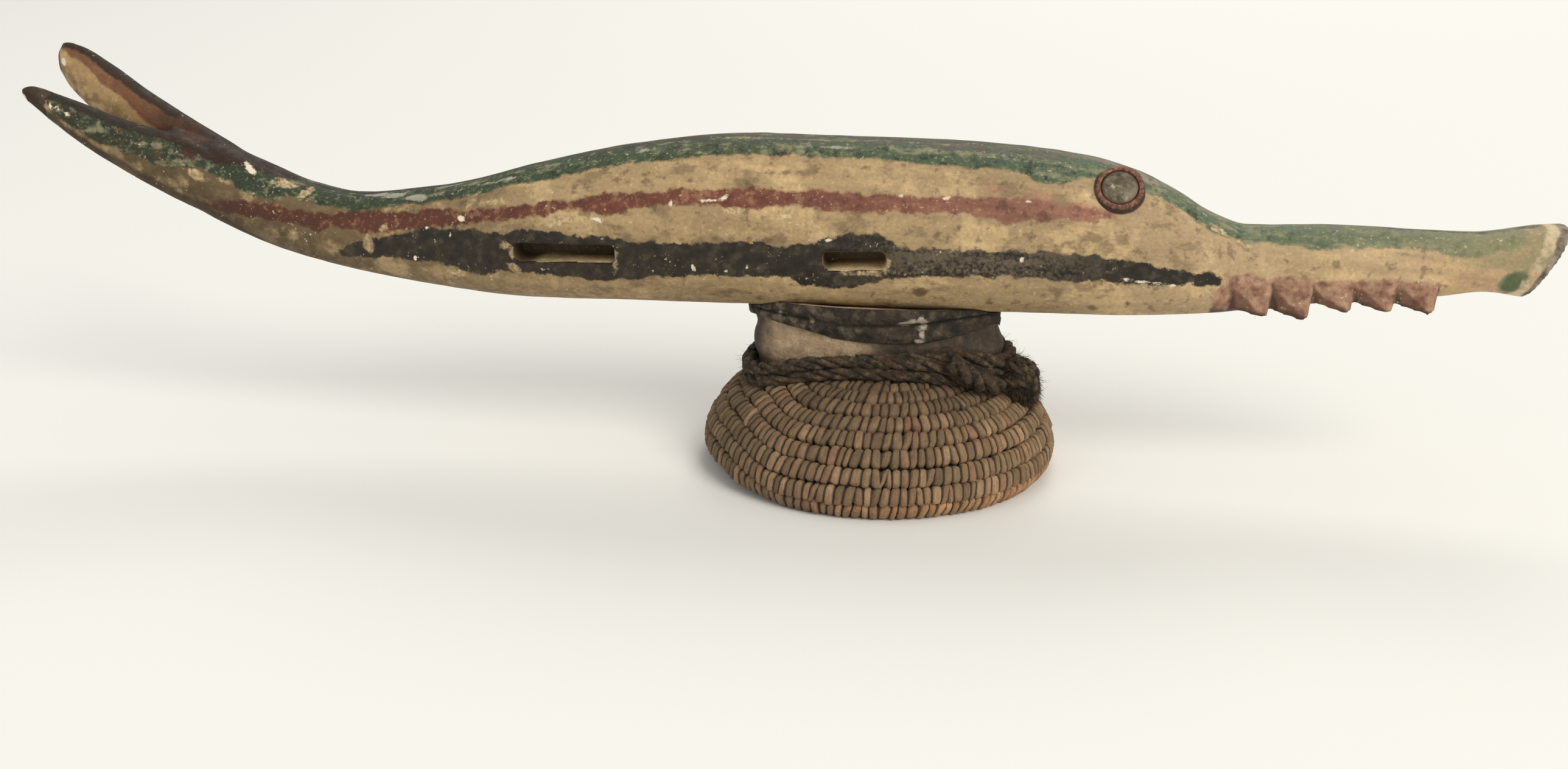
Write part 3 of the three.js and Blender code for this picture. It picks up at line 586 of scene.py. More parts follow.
def in_ovals(marks, x, above, shown):
    """How deep each shown vertex lies inside the nearest of some slanted ovals, in mm. What above gives
    is the distance over a mark's middle."""
    deep = np.full(len(x), float(FAR_OUTSIDE))
    for along, height, half_long, half_high, slant in marks:
        c, s = math.cos(math.radians(slant)), math.sin(math.radians(slant))
        away, over_it = x - along, above(height)
        u, w = away * c + over_it * s, over_it * c - away * s
        deep = np.maximum(deep, (1 - np.hypot(u / half_long, w / half_high)) * min(half_long, half_high))
    return np.where(shown, deep, FAR_OUTSIDE)


def marked(marks, at_side=-1):
    """How deep a vertex lies inside marks that are placed by height on one flank."""
    return in_ovals(marks, x, lambda height: z - height, side == at_side)


def marked_round(marks):
    """The same for marks that are placed by degrees round the log, on the near flank."""
    return in_ovals(marks, x, lambda degrees: (girth - degrees) * metric, side == -1)


chips = np.maximum(marked(CHIPS), marked(FAR_CHIPS, 1))
note(fish, chips=chips, scrapes=np.maximum(marked(SCRAPES), marked(FAR_SCRAPES, 1)), spots=marked(SPOTS),
     pink=marked_round(PINK), rubbed=marked_round(RUBBED))

# The slots: pale cut wood, paler still as painted light on the lit lower walls, with painted shade
# above and further in, darkest in the rear slot's tail end.
# Dirt and painted shade lie along the belly and the low flank, more of them towards the tail.
in_slot, above_middle = np.full(len(x), float(FAR_OUTSIDE)), np.zeros(len(x))
for along, height, length in SLOTS:
    rise = height + (x - along) * math.tan(SLOT_RISE)
    box = np.minimum(length / 2 - np.abs(x - along), SLOT_HEIGHT / 2 - np.abs(z - rise)) + 0.6
    above_middle = np.where(box > in_slot, z - rise, above_middle)
    in_slot = np.maximum(in_slot, box)
slot_depth = np.where(in_slot > 0, 0.98 * flank(x) - np.abs(y), 0)
slot_dark = 0.2 * eased(slot_depth, 4, 15) + 0.8 * eased(slot_depth, 16, 21) + eased(x, -129, -138)
slot_dark += 0.8 * eased(x, 46, 41) * (x > 0)
slot_dark = np.where((slot_depth > 1) | (above_middle > 4.5) & (in_slot > 0), slot_dark, 0)
grime = (0.5 - 0.38 * eased(x, 60, 150)) * eased(girth, -45, -85)
grime += 0.45 * eased(x, -230, -330) * eased(girth, 30, -60)
grime += 0.34 * eased(x, 70, -50) * eased(girth, 20, -6)
note(fish, slot=np.where(slot_depth > 1.5, np.minimum(in_slot, 3) + 0.8, -5),
     slot_dark=np.clip(slot_dark, 0, 1), grime=np.clip(grime, 0, 0.8))
places -= normals * CHIP_DEPTH * (eased(chips, -0.3, 0.8) + eased(marked([DENT]), -0.4, 0.6))[:, None]
move_vertices(fish, places)


class Finish:
    """A material as it is painted: a tree of nodes, whose outputs are passed on as values and colours.
    A colour may also be given as its screen values."""

    def __init__(self, name, sockets):
        self.material = bpy.data.materials.new(name)
        self.material.use_nodes = True
        self.tree = self.material.node_tree
        self.shader = self.tree.nodes["Principled BSDF"]
        for socket, value in sockets.items():
            self.shader.inputs[socket].default_value = value
        self.place = self.stretched(1, 1, 1)

    def node(self, kind, sockets, **settings):
        """A node whose settings and sockets are given; a socket takes a value or another's output."""
        made = self.tree.nodes.new("ShaderNode" + kind)
        for name, value in settings.items():
            setattr(made, name, value)
        for key, value in sockets.items():
            if isinstance(value, bpy.types.NodeSocket):
                self.tree.links.new(value, made.inputs[key])
            else:
                made.inputs[key].default_value = value
        return made

    def noted(self, name):
        """A number that note has kept for each vertex."""
        return self.node("Attribute", {}, attribute_name=name).outputs["Fac"]

    def stretched(self, *stretch):
        """The place on the object, stretched to squeeze a pattern along an axis."""
        place = self.node("TexCoord", {}).outputs["Object"]
        return self.node("Mapping", {"Vector": place, "Scale": stretch}).outputs["Vector"]

    def grain(self, scale, detail=4.0, rough=0.55, at=None):
        """Noise about a half, so many times finer than a metre."""
        place = self.place if at is None else at
        sockets = {"Vector": place, "Scale": scale, "Detail": detail, "Roughness": rough}
        return self.node("TexNoise", sockets).outputs["Fac"]

    def plus(self, a, b):
        """The sum of two values."""
        return self.node("Math", {0: a, 1: b}, operation="ADD").outputs[0]

    def times(self, a, b):
        """The product of two values."""
        return self.node("Math", {0: a, 1: b}, operation="MULTIPLY").outputs[0]

    def swing(self, noise, width):
        """Noise about nought, which swings up to half the width either way."""
        return self.times(self.plus(noise, -0.5), width)

    def past(self, value, start, end):
        """0 before start and 1 beyond end, smooth between; start may be the greater."""
        sockets = {"Value": value, "From Min": start, "From Max": end}
        return self.node("MapRange", sockets, interpolation_type="SMOOTHSTEP").outputs["Result"]

    def between(self, value, first, last, low=0.3, high=0.7):
        """A number that goes straight from first to last as the value goes from low to high."""
        sockets = {"Value": value, "From Min": low, "From Max": high, "To Min": first, "To Max": last}
        return self.node("MapRange", sockets).outputs["Result"]

    def over(self, under, colour, share, strength=1, way="MIX"):
        """A colour laid over another, as thickly as the share times the strength."""
        under, colour = (tone(*each) if isinstance(each, tuple) else each for each in (under, colour))
        share = share if strength == 1 else self.times(share, strength)
        sockets = {0: share, 6: under, 7: colour}
        return self.node("Mix", sockets, data_type="RGBA", blend_type=way).outputs[2]

    def shaded(self, colour, value, dark, light, low=0.3, high=0.7):
        """The colour times a brightness from dark to light as the value goes from low to high."""
        bright = self.between(value, dark, light, low, high)
        grey = self.node("CombineColor", {0: bright, 1: bright, 2: bright}).outputs[0]
        return self.over(colour, grey, 1.0, way="MULTIPLY")

    def ramp(self, value, stops):
        """A colour that changes with a value, through (place, screen colour) stops."""
        made = self.node("ValToRGB", {"Fac": value})
        points = made.color_ramp.elements
        while len(points) < len(stops):
            points.new(1)
        for point, (place, colour) in zip(points, stops):
            point.position, point.color = place, tone(*colour)
        return made.outputs["Color"]

    def done(self, colour, height, millimetres, roughness=None):
        """The material, once its shader has the colour, relief of that height, and the roughness."""
        bump = self.node("Bump", {"Height": height, "Distance": millimetres / 1000, "Strength": 1.0})
        self.tree.links.new(bump.outputs["Normal"], self.shader.inputs["Normal"])
        self.tree.links.new(colour, self.shader.inputs["Base Color"])
        if roughness is not None:
            self.tree.links.new(roughness, self.shader.inputs["Roughness"])
        return self.material


def painted_wood():
    """Old paint on wood: tan ground, then each band where its noted depth, made ragged by noise, is
    above nought, then marks, dirt, painted light and painted shade. Colours drift along the fish, which is
    darker at the tail, partly in its paint and partly as painted shade from a light that falls off there."""
    wood = Finish("painted_wood", {"Roughness": 0.62, "Specular IOR Level": 0.3})
    streaks = wood.grain(150, 6, 0.6, at=wood.stretched(0.14, 1, 1))
    clouds = wood.grain(75, 5, 0.62, at=wood.stretched(0.6, 1, 1))
    blotches, mottle, fine = wood.grain(42, 5, 0.6), wood.grain(150, 5, 0.6), wood.grain(480, 4, 0.6)
    ragged, crumbs = wood.swing(wood.grain(105, 6, 0.64), 10), wood.swing(fine, 5)
    along = wood.between(wood.node("SeparateXYZ", {0: wood.place}).outputs["X"], 0, 1, -0.46, 0.46)
    calm = wood.between(along, 1, 0.35, 0.76, 0.86)  # the jaw is less spotted

    def band(name, soft=0.4, raggedness=1.0, start=0.0, crumbly=0.4):
        """1 where the noted depth, made ragged and crumbly, is above a start, with a soft edge."""
        depth = wood.plus(wood.noted(name), wood.times(ragged, raggedness))
        return wood.past(wood.plus(depth, wood.times(crumbs, crumbly)), start - soft, start + soft)

    # The ground: tan, darker towards the tail partly as painted shade, lighter in blotches, stained and
    # streaked
    tan = wood.ramp(along, [
        (0.0, (140, 117, 82)), (0.1, (104, 87, 60)), (0.24, (120, 101, 71)), (0.38, (184, 157, 115)),
        (0.52, (184, 157, 115)), (0.7, (176, 151, 114)), (0.84, (194, 167, 128)), (0.96, (202, 173, 133)),
        (1.0, (200, 175, 138))])
    tan = wood.over(tan, (218, 188, 138), wood.past(blotches, 0.51, 0.62), 0.6)
    tan = wood.over(tan, (138, 116, 86), wood.times(wood.past(clouds, 0.47, 0.36), calm), 0.75)
    tan = wood.over(tan, (100, 78, 54), wood.past(mottle, 0.45, 0.33), 0.55)
    tan = wood.over(tan, (206, 160, 122), wood.past(along, 0.9, 0.97), 0.35)
    tan = wood.shaded(tan, streaks, 0.8, 1.1)
    colour = wood.over(tan, (55, 43, 28), band("brown", 1.8), 0.85)
    colour = wood.over(colour, wood.over(tan, (186, 152, 104), 0.65), band("inner_face", 0.8, 0.3))
    colour = wood.over(colour, (176, 122, 98), band("pink", 1.4, 0.8), 0.5)
    colour = wood.over(colour, (80, 60, 42), band("spots", 1.1, 0.8), 0.75)

    # The teeth, with painted shade in their gaps, underneath and on each one's lower left facet
    tooth = wood.ramp(mottle, [(0.35, (118, 80, 64)), (0.48, (156, 115, 94)), (0.64, (188, 152, 124))])
    colour = wood.over(colour, tooth, band("teeth", 1.4, 1.0), 0.92)
    colour = wood.over(colour, (90, 60, 46), band("tooth_shade", 1.4, 0.7), 0.7)
    colour = wood.over(colour, (60, 42, 32), band("teeth_dark", 1.6, 0.4), 0.8)

    # Red, black and green bands, each worn through in specks; red and green darken towards the tail, partly
    # as painted shade
    red = wood.ramp(along, [
        (0.1, (72, 38, 27)), (0.3, (98, 56, 41)), (0.5, (120, 70, 55)), (0.66, (148, 102, 84)),
        (0.76, (166, 120, 100))])
    red = wood.over(red, (170, 128, 100), wood.past(mottle, 0.5, 0.66), 0.6)
    red = wood.over(red, (78, 46, 36), wood.past(mottle, 0.46, 0.34), 0.5)
    red = wood.shaded(red, streaks, 0.75, 1.15)
    unworn = wood.plus(1.0, wood.times(wood.past(fine, 0.6, 0.7), -0.7))
    colour = wood.over(colour, red, wood.times(band("red", 1.2, 1.2), unworn))
    black = wood.ramp(mottle, [(0.34, (26, 24, 18)), (0.52, (44, 40, 32)), (0.68, (80, 74, 60))])
    brownish = wood.times(wood.past(along, 0.54, 0.62), wood.past(along, 0.74, 0.66))
    thin_paint = wood.past(wood.plus(wood.times(streaks, 0.5), wood.times(fine, 0.5)), 0.4, 0.56)
    black = wood.over(black, (112, 100, 80), wood.times(brownish, thin_paint), 0.8)
    colour = wood.over(colour, black, band("black", 0.8, 1.1))
    green = wood.ramp(along, [
        (0.03, (46, 52, 36)), (0.14, (46, 60, 42)), (0.24, (54, 68, 47)), (0.36, (62, 78, 56)),
        (0.5, (74, 86, 62)), (0.72, (84, 102, 80)), (0.85, (106, 118, 92)), (0.95, (134, 134, 102))])
    green = wood.over(green, (40, 46, 33), wood.times(wood.past(mottle, 0.49, 0.36), calm), 0.8)
    pale_green = wood.past(wood.plus(wood.times(mottle, 0.5), wood.times(streaks, 0.5)), 0.5, 0.62)
    green = wood.over(green, (152, 148, 114), pale_green, 0.75)
    green = wood.over(green, (166, 156, 116), wood.past(fine, 0.56, 0.68), 0.5)
    green = wood.over(green, (72, 90, 58), wood.past(wood.noted("flare_patch"), 0, 2), 0.75)
    colour = wood.over(colour, green, band("green", 1.4, 1.2))
    mould = wood.times(wood.noted("flare_top"), wood.past(mottle, 0.26, 0.5))
    colour = wood.over(colour, (146, 142, 106), mould, 0.8)
    colour = wood.over(colour, (178, 176, 158), band("rubbed", 0.8, 0.8), 0.8)

    # The ridge of the back, and the painted faces and edges of the prongs
    top = wood.ramp(along, [
        (0.0, (38, 31, 20)), (0.14, (46, 30, 17)), (0.24, (50, 39, 24)), (0.32, (58, 54, 41)),
        (0.6, (84, 78, 62)), (0.69, (98, 90, 72)), (0.74, (150, 136, 118)), (0.82, (132, 124, 104)),
        (0.88, (82, 82, 68)), (1.0, (80, 76, 64))])
    greenish = wood.times(wood.past(along, 0.3, 0.45), wood.past(mottle, 0.47, 0.53))
    top = wood.shaded(wood.over(top, green, greenish, 0.8), streaks, 0.7, 1.2)
    colour = wood.over(colour, top, band("ridge", 1.4, 1.6))
    maroon = wood.shaded(wood.over((104, 54, 38), tan, 0.15), mottle, 0.75, 1.2)
    colour = wood.over(colour, maroon, band("stripe", 1.4, 0.9), 0.85)
    # Painted shade inside the fork, where the prongs' inner faces meet at its root
    colour = wood.over(colour, (58, 37, 25), wood.noted("crotch"), 0.85)
    colour = wood.over(colour, (42, 34, 25), band("dark_edge", 0.9, 0.5), 0.9)

    # The mouth's rim, the pale strip behind it with its painted highlight, and the ring round the eye
    pale_strip = wood.times(band("rim", 1.4, 0.7, -6.0), wood.past(blotches, 0.4, 0.56))
    colour = wood.over(colour, (220, 199, 163), pale_strip, 0.8)
    colour = wood.over(colour, wood.ramp(mottle, [(0.36, (84, 76, 64)), (0.6, (150, 138, 120))]),
                       band("rim", 0.9, 0.6))
    colour = wood.over(colour, (66, 50, 42), band("ring", 0.4, 0.08, 0.2, 0.1))
    colour = wood.over(colour, wood.ramp(fine, [(0.4, (94, 58, 47)), (0.62, (140, 98, 80))]),
                       band("ring", 0.5, 0.15, 1.5, 0.2))

    # Marks: rubbed places, the slots' cut walls with painted light and painted shade in them, dirt and
    # painted shade on the belly, and bare chips
    bare = wood.over((176, 150, 110), (208, 184, 142), wood.past(fine, 0.42, 0.6))
    colour = wood.over(colour, bare, band("scrapes", 0.8, 0.7), 0.75)
    # The slots' cut walls, paler than bare wood as painted light; then painted shade above and further in
    colour = wood.over(colour, wood.over(bare, (228, 204, 160), 0.6), band("slot", 0.8, 0.2), 0.95)
    colour = wood.over(colour, (50, 38, 26), wood.noted("slot_dark"), 0.88)
    colour = wood.shaded(colour, fine, 0.84, 1.1)
    # Dirt, and painted shade on the belly and low flank, in mottled patches
    colour = wood.over(colour, (58, 46, 32), wood.times(wood.noted("grime"), wood.past(mottle, 0.3, 0.62)))
    flecks = wood.times(wood.past(fine, 0.64, 0.68), wood.past(clouds, 0.5, 0.58))
    colour = wood.over(colour, (214, 202, 176), flecks, 0.7)
    colour = wood.over(colour, (228, 215, 192), band("chips", 0.4, 0.25, 0.0, 0.35))
    height = wood.plus(wood.plus(wood.times(streaks, 0.7), wood.times(fine, 0.3)), wood.times(mottle, 0.5))
    return wood.done(colour, height, 0.9, wood.between(mottle, 0.52, 0.8))


fish.data.materials.clear()
fish.data.materials.append(painted_wood())
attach(fish, "root")
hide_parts("fish_body")


# The eyes
# A thin round of dull sheet metal on each side, slightly domed and dented. It is pressed into a shallow
# seat cut in the carved ring, its edge just below the ring's top.
def eye_disc(name, side):
    """The disc: a low dome over a flat underside, its face dented by unevenness along its axis."""
    floor, edge = COLLAR_PROUD - SEAT_DEPTH + 0.3, COLLAR_PROUD - 0.6
    dome = [(EYE_RADIUS * s, edge + 1.2 * (1 - s * s) ** 0.8) for s in np.linspace(1, 0.02, 14)]
    line = [(0.3, floor), (EYE_RADIUS - 0.4, floor), (EYE_RADIUS, floor + 0.4), *dome]
    places, faces = turned_on_eye(line, side, sides=64, wobble=0.004)
    places = places + (0.1 * unevenness(places, 4.3, 11))[:, None] * eye_frame(side)[3]
    disc = piece(name, places, faces)
    note(disc, from_middle=from_the_eye(places, side)[0] / EYE_RADIUS)
    return disc


metal = Finish("dull_eye_metal", {"Roughness": 0.45, "Metallic": 0.55})
mottle, scratches = metal.grain(260, 5), metal.grain(1000, 3, at=metal.stretched(1, 0.3, 1))
colour = metal.ramp(mottle, [(0.34, (78, 70, 56)), (0.5, (108, 99, 81)), (0.62, (134, 124, 104)),
                             (0.7, (206, 198, 180))])
colour = metal.over(colour, (76, 56, 44), metal.past(metal.noted("from_middle"), 0.76, 1.0))
colour = metal.over(colour, (90, 78, 60), metal.past(scratches, 0.54, 0.64), 0.5)
dented = metal.plus(mottle, metal.times(scratches, 0.2))
eye_metal = metal.done(colour, dented, 0.25, metal.between(mottle, 0.34, 0.6))
for name, node, eye_side in (("right_eye", "eye_right", -1), ("left_eye", "eye_left", 1)):
    disc = eye_disc(name, eye_side)
    disc.data.materials.append(eye_metal)
    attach(disc, "root")
    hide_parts(node)

# The cap
# A skull cap of coiled basketry: one long bundle of grass, wound from the crown to the rim and sewn coil
# to coil with flat stitches, no two alike. Bits of straw stick out. Its hollow is open below.
CAP_PLACE = 72
CAP_LINE = [(101.5, 0), (107, 11), (105, 22), (100, 32), (93, 40.5), (84, 47.5), (74, 53), (63, 57.5),
            (51, 60.5), (35, 62), (0, 63)]
COIL_PITCH, COIL_THICKNESS, COIL_TURNS, STITCH = 11.3, 9.2, 12.35, 5.1
STITCH_ROWS, STITCH_SIDES, STITCH_SQUARENESS = 6, 10, 10 / 3
STRAWS = 60
LOOSE = dict(swell=1, stitch_tone=0.93, coil=6, run=0, girth=0)  # what is noted for the loose straws


def cap_place(distance):
    """The cap's wall at a distance from the rim: radius, height, and the way outwards, on the rounded
    line through its points."""
    passed = np.cumsum(np.hypot(*np.diff(CAP_LINE, axis=0, prepend=CAP_LINE[:1]).T))
    r, h = lines_along(np.c_[passed, CAP_LINE])
    step = 0.5
    slope = np.stack([r(distance + step) - r(distance - step), h(distance + step) - h(distance - step)])
    slope = slope / np.maximum(np.hypot(*slope), 1e-6)
    return r(distance), h(distance), slope[1], -slope[0]


def coil_line(rng, samples=20000):
    """The bundle's path: the turns lie nearly level for nine tenths of the way round, wandering by up to
    a millimetre, and step up to the next at the tail's side. It comes as distances from the rim and
    turns, a few for each stitch, whose widths differ by a third either way."""
    turns = np.linspace(0, COIL_TURNS, samples)
    whole = np.floor(turns)
    wander = 0.9 * unevenness(np.c_[turns * 9, 0 * turns, 0.4 * turns], 1.0, 3) * eased(turns, 0.05, 0.9)
    distance = COIL_PITCH * (whole + 0.46 + eased(turns - whole, 0.9, 1.0)) + wander
    radius = cap_place(distance)[0]
    run = np.concatenate([[0], np.cumsum(2 * np.pi * np.maximum(radius[:-1], 3) * np.diff(turns))])
    widths = np.clip(rng.normal(1, 0.18, int(run[-1] / STITCH)), 0.6, 1.5)
    ends = np.concatenate([[0], np.cumsum(widths)]) / widths.sum() * run[-1]
    at = np.interp(np.arange(len(widths) * STITCH_ROWS + 1) / STITCH_ROWS, np.arange(len(ends)), ends)
    return at, np.interp(at, run, distance), np.interp(at, run, turns), len(widths)


def coiled_bundle():
    """The bundle as a tube: at each place an oval, wide along the wall and thinner through it. Within a
    stitch it swells by a flat arch, and each stitch leans and has its own size and tightness."""
    rng = np.random.default_rng(5)
    run, distance, turns, stitches = coil_line(rng)
    index = np.minimum(np.arange(len(distance)) // STITCH_ROWS, stitches - 1)
    phase = (np.arange(len(distance)) % STITCH_ROWS) / STITCH_ROWS
    swell = 1 - np.abs(2 * phase - 1) ** 3.0
    size, tone_of = rng.normal(1, 0.06, stitches), rng.random(stitches)
    lean = 1.8 * rng.normal(0.4, 0.35, stitches)[index][:, None]
    tight = rng.uniform(0.2, 0.42, stitches)[index]
    fat = (1 - tight + tight * swell) * np.where(swell > 0, size[index], 1)
    fat *= np.clip(np.minimum(turns / 0.05, 1), 0.35, 1) * np.clip((COIL_TURNS - turns) / 0.1, 0.3, 1)
    radius, height, out_r, out_z = (values[:, None] for values in cap_place(distance))
    turn = full_turn(STITCH_SIDES)
    across, out = oval(turn, 0.51 * COIL_PITCH, 0.5 * COIL_THICKNESS, STITCH_SQUARENESS)
    along_wall, through = across * fat[:, None], out * fat[:, None]
    proud = through - (COIL_THICKNESS / 2 - 1.2)
    r, h = radius + proud * out_r - along_wall * out_z, height + proud * out_z + along_wall * out_r
    angle = np.pi + 0.5 - 2 * np.pi * turns[:, None] + lean * np.cos(turn) / np.maximum(radius, 8)
    grid = np.stack([CAP_PLACE + r * np.cos(angle), r * np.sin(angle), np.maximum(h, 0.05)], axis=2)
    of_rows = dict(swell=swell, stitch_tone=tone_of[index], coil=turns, run=run)
    measures = {name: np.concatenate([np.repeat(values, STITCH_SIDES), values[[0, -1]]])
                for name, values in of_rows.items()}
    measures["girth"] = np.concatenate([np.tile(turn * 5, len(run)), [0, 0]])
    return *closed(grid), measures


def unit(vectors):
    """Each vector at a length of one."""
    return vectors / np.maximum(np.linalg.norm(vectors, axis=-1, keepdims=True), 1e-9)


def hairs(roots, ways, lengths, radius, rng, bend=0.5, steps=5):
    """Loose fibres: from each root a thin three-sided tube goes out its way, bending more to one side
    as it goes, and thins to its end. All are worked out at once."""
    count = len(roots)
    ways = unit(ways)
    side_way = unit(np.cross(ways, rng.normal(size=(count, 3))))
    share = np.linspace(0, 1, steps)
    t = share[None, :, None]
    curl = (bend * rng.uniform(0.3, 1.2, count))[:, None, None]
    line = roots[:, None] + lengths[:, None, None] * (t * ways[:, None] + curl * t * t * side_way[:, None])
    turn = full_turn(3)[None, None, :, None]
    ring = np.cos(turn) * side_way[:, None, None] + np.sin(turn) * np.cross(ways, side_way)[:, None, None]
    grid = line[:, :, None] + (radius * (1 - 0.75 * share))[None, :, None, None] * ring
    places = np.concatenate([grid.reshape(count, -1, 3), line[:, :1], line[:, -1:]], axis=1)
    faces = skin(steps, 3)[None] + (np.arange(count) * (steps * 3 + 2))[:, None, None]
    return places.reshape(-1, 3), faces.reshape(-1, 3)


coil_places, coil_faces, measures = coiled_bundle()
rng = np.random.default_rng(6)
roots = coil_places[rng.integers(2000, len(coil_places) - 12000, STRAWS)]
out = unit(roots - (CAP_PLACE, 0, 20))
straws = hairs(roots - 0.4 * out, 0.35 * out + rng.normal(size=(STRAWS, 3)) * (1, 1, 0.5),
               rng.uniform(3, 8, STRAWS), 0.35, rng)
places, faces = together([(coil_places, coil_faces), straws])
cap = piece("coiled_cap", places, faces)
of_straws = {name: np.full(len(straws[0]), value) for name, value in LOOSE.items()}
measures = {name: np.append(values, of_straws[name]) for name, values in measures.items()}
coil = measures.pop("coil")
x, y, z = places.T
# Painted light: the grass is brighter on the lower rows towards the snout's side, and warmer on the rim's
# near side towards the snout
faded = eased(coil, 9, 3) * (0.25 + 0.45 * eased(x, -40, 80) + 0.3 * eased(x, 90, 160))
note(cap, **measures, warm_rim=eased(coil, 1.7, 0.8) * eased(x, 30, 130) * (y < 20), faded=faded)

grass = Finish("coiled_grass", {"Roughness": 0.88})
blotches, mottle, fine = grass.grain(24), grass.grain(160), grass.grain(900, 3)
over_coil = grass.node("CombineXYZ", {0: grass.noted("run"), 1: grass.times(grass.noted("girth"), 0.14)})
blades = grass.grain(1.5, 3, 0.6, at=over_coil.outputs[0])
colour = grass.ramp(grass.noted("stitch_tone"), [
    (0.0, (92, 73, 52)), (0.4, (108, 87, 63)), (0.75, (120, 97, 71)), (0.92, (138, 113, 84)),
    (0.96, (118, 92, 67)), (0.99, (118, 86, 65))])
colour = grass.over(colour, (92, 80, 54), grass.past(blotches, 0.54, 0.42), 0.32)
colour = grass.over(colour, (122, 92, 68), grass.past(blotches, 0.5, 0.64), 0.35)
# Painted warm light on the rim's near side
colour = grass.over(colour, (172, 124, 82), grass.noted("warm_rim"), 0.3)
colour = grass.shaded(colour, mottle, 0.8, 1.15)
colour = grass.shaded(colour, blades, 0.72, 1.24)
# Painted light on the lower rows towards the snout's side
colour = grass.shaded(colour, grass.noted("faded"), 1.05, 1.8, 0.0, 1.0)
colour = grass.shaded(colour, fine, 0.86, 1.1)
# Painted shade in the grooves between the stitches
colour = grass.over(colour, (38, 28, 19), grass.past(grass.noted("swell"), 0.85, 0.2), 0.88)
cap.data.materials.append(grass.done(colour, grass.plus(fine, grass.plus(mottle, blades)), 0.6))
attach(cap, "root")
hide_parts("cap")

# The neck
# The short padded block between cap and belly, sleeved in a worn tan hide. The hide is drawn round it in
# slanting wrinkles, ends under the cloth above, and is bound down by the rope at the foot.
NECK_PLACE, NECK_LENGTH, NECK_WIDTH, NECK_SQUARENESS, NECK_TOP = 69, 145.5, 66, 2.6, 103
# height, and how much longer it is at the tail's side and at the snout's, and wider at the flanks
NECK_ROWS = [(45, -1, 3, 3), (60, -1, 3, 3), (74, 1.5, 4.5, 2), (88, 0, 0.5, 0), (NECK_TOP, 1, 0, 0)]
WRINKLES = ((0.9, (0.4, 0.4, 1.4), 9, 21), (0.35, (1, 1, 1), 3.2, 22))
FOOT_LEVEL, TOP_LEVEL = 60.0, 100.0
PALE_HIDE = (3, 76)  # along, on the near side
HIDE_LIFT = 0.6  # of the hide over the cap
CLOSING = (0.15, 0.4, 0.7, 0.92)  # sizes of the rings that close the hide in
neck_rear, neck_front, neck_flank = lines_along(NECK_ROWS)
cap_height = smooth_line(CAP_LINE[1:])


def round_neck(turn, height, outside):
    """The place at a turn round the neck, a distance outside it: a squarish oval, longer or shorter
    towards tail and snout and wider at the flanks by what the neck's lines say for that height."""
    longer = np.where(np.cos(turn) < 0, neck_rear(height), neck_front(height))
    half_wide = NECK_WIDTH / 2 + neck_flank(height) + outside
    x, y = oval(turn, NECK_LENGTH / 2 + longer + outside, half_wide, NECK_SQUARENESS)
    return NECK_PLACE + x, y


def over_cap(x, y):
    """The height of the cap's skin over a point of the ground."""
    return cap_height(np.hypot(x - CAP_PLACE, y))


def belly_above(x, y):
    """The height of the belly's skin over a point of the ground."""
    middle, half = middle_and_half(x)
    share = np.clip(np.abs(y) / flank(x), 0, 1)
    return middle - half * (1 - share ** BELLY_SQUARENESS) ** (1 / BELLY_SQUARENESS)


def hide_top(x, y):
    """The height at which the hide ends under the belly."""
    return np.minimum(belly_above(x, y) - 0.8, NECK_TOP)


def away_from_neck(places):
    """The level way out of the neck at each place."""
    return unit(np.stack([(places[:, 0] - NECK_PLACE) / 3, places[:, 1], 0 * places[:, 2]], axis=1))


def fold_above_rope(x, y, z, foot, width):
    """1 on the line of the hide's one slanting fold and less away from it, by a bell curve."""
    stretch = eased(x, 24, 32) * eased(x, 56, 42) * (y < 0)
    return np.exp(-((z - foot - 0.24 * (x - 30)) / width) ** 2) * stretch


def neck_hide(rows=60, sides=220):
    """The hide: rings from the cap's crown to its top, with slanting wrinkles and one fold above the
    rope. More rings close it in under the belly and over the cap."""
    share = np.linspace(0, 1, rows)[:, None]
    turn = full_turn(sides)[None, :]
    foot = over_cap(*round_neck(turn, FOOT_LEVEL, 0)) + HIDE_LIFT
    height = foot + share * (hide_top(*round_neck(turn, TOP_LEVEL, 0)) - foot)
    x, y = round_neck(turn + 0 * height, height, 0)
    grid = np.stack([x, y, height], axis=2)
    flat = grid.reshape(-1, 3)
    outwards = 0.8 * layered(flat, *WRINKLES) - 0.3 + 1.3 * fold_above_rope(*flat.T, 68, 1.6)
    grid = (flat + away_from_neck(flat) * outwards[:, None]).reshape(grid.shape)

    def ring_at(row, size):
        """One of the end rings, drawn in towards the neck's middle."""
        return NECK_PLACE + size * (grid[row, :, 0] - NECK_PLACE), size * grid[row, :, 1]

    below = [np.stack([x, y, over_cap(x, y) + HIDE_LIFT], axis=1)
             for x, y in (ring_at(0, size) for size in CLOSING)]
    above = [np.stack([x, y, hide_top(x, y)], axis=1)
             for x, y in (ring_at(-1, size) for size in reversed(CLOSING))]
    return closed(np.concatenate([np.array(below), grid, np.array(above)]))


places, faces = neck_hide()
neck = piece("neck_hide", places, faces)
x, y, z = places.T
light_patch = np.where(y < 0, least(x - PALE_HIDE[0], PALE_HIDE[1] - x), 2 * FAR_OUTSIDE)
note(neck, light_patch=light_patch, foot=eased(z, 70, 61), rear=eased(x, 6, -3),
     crease=fold_above_rope(x, y, z, 66.6, 0.9))

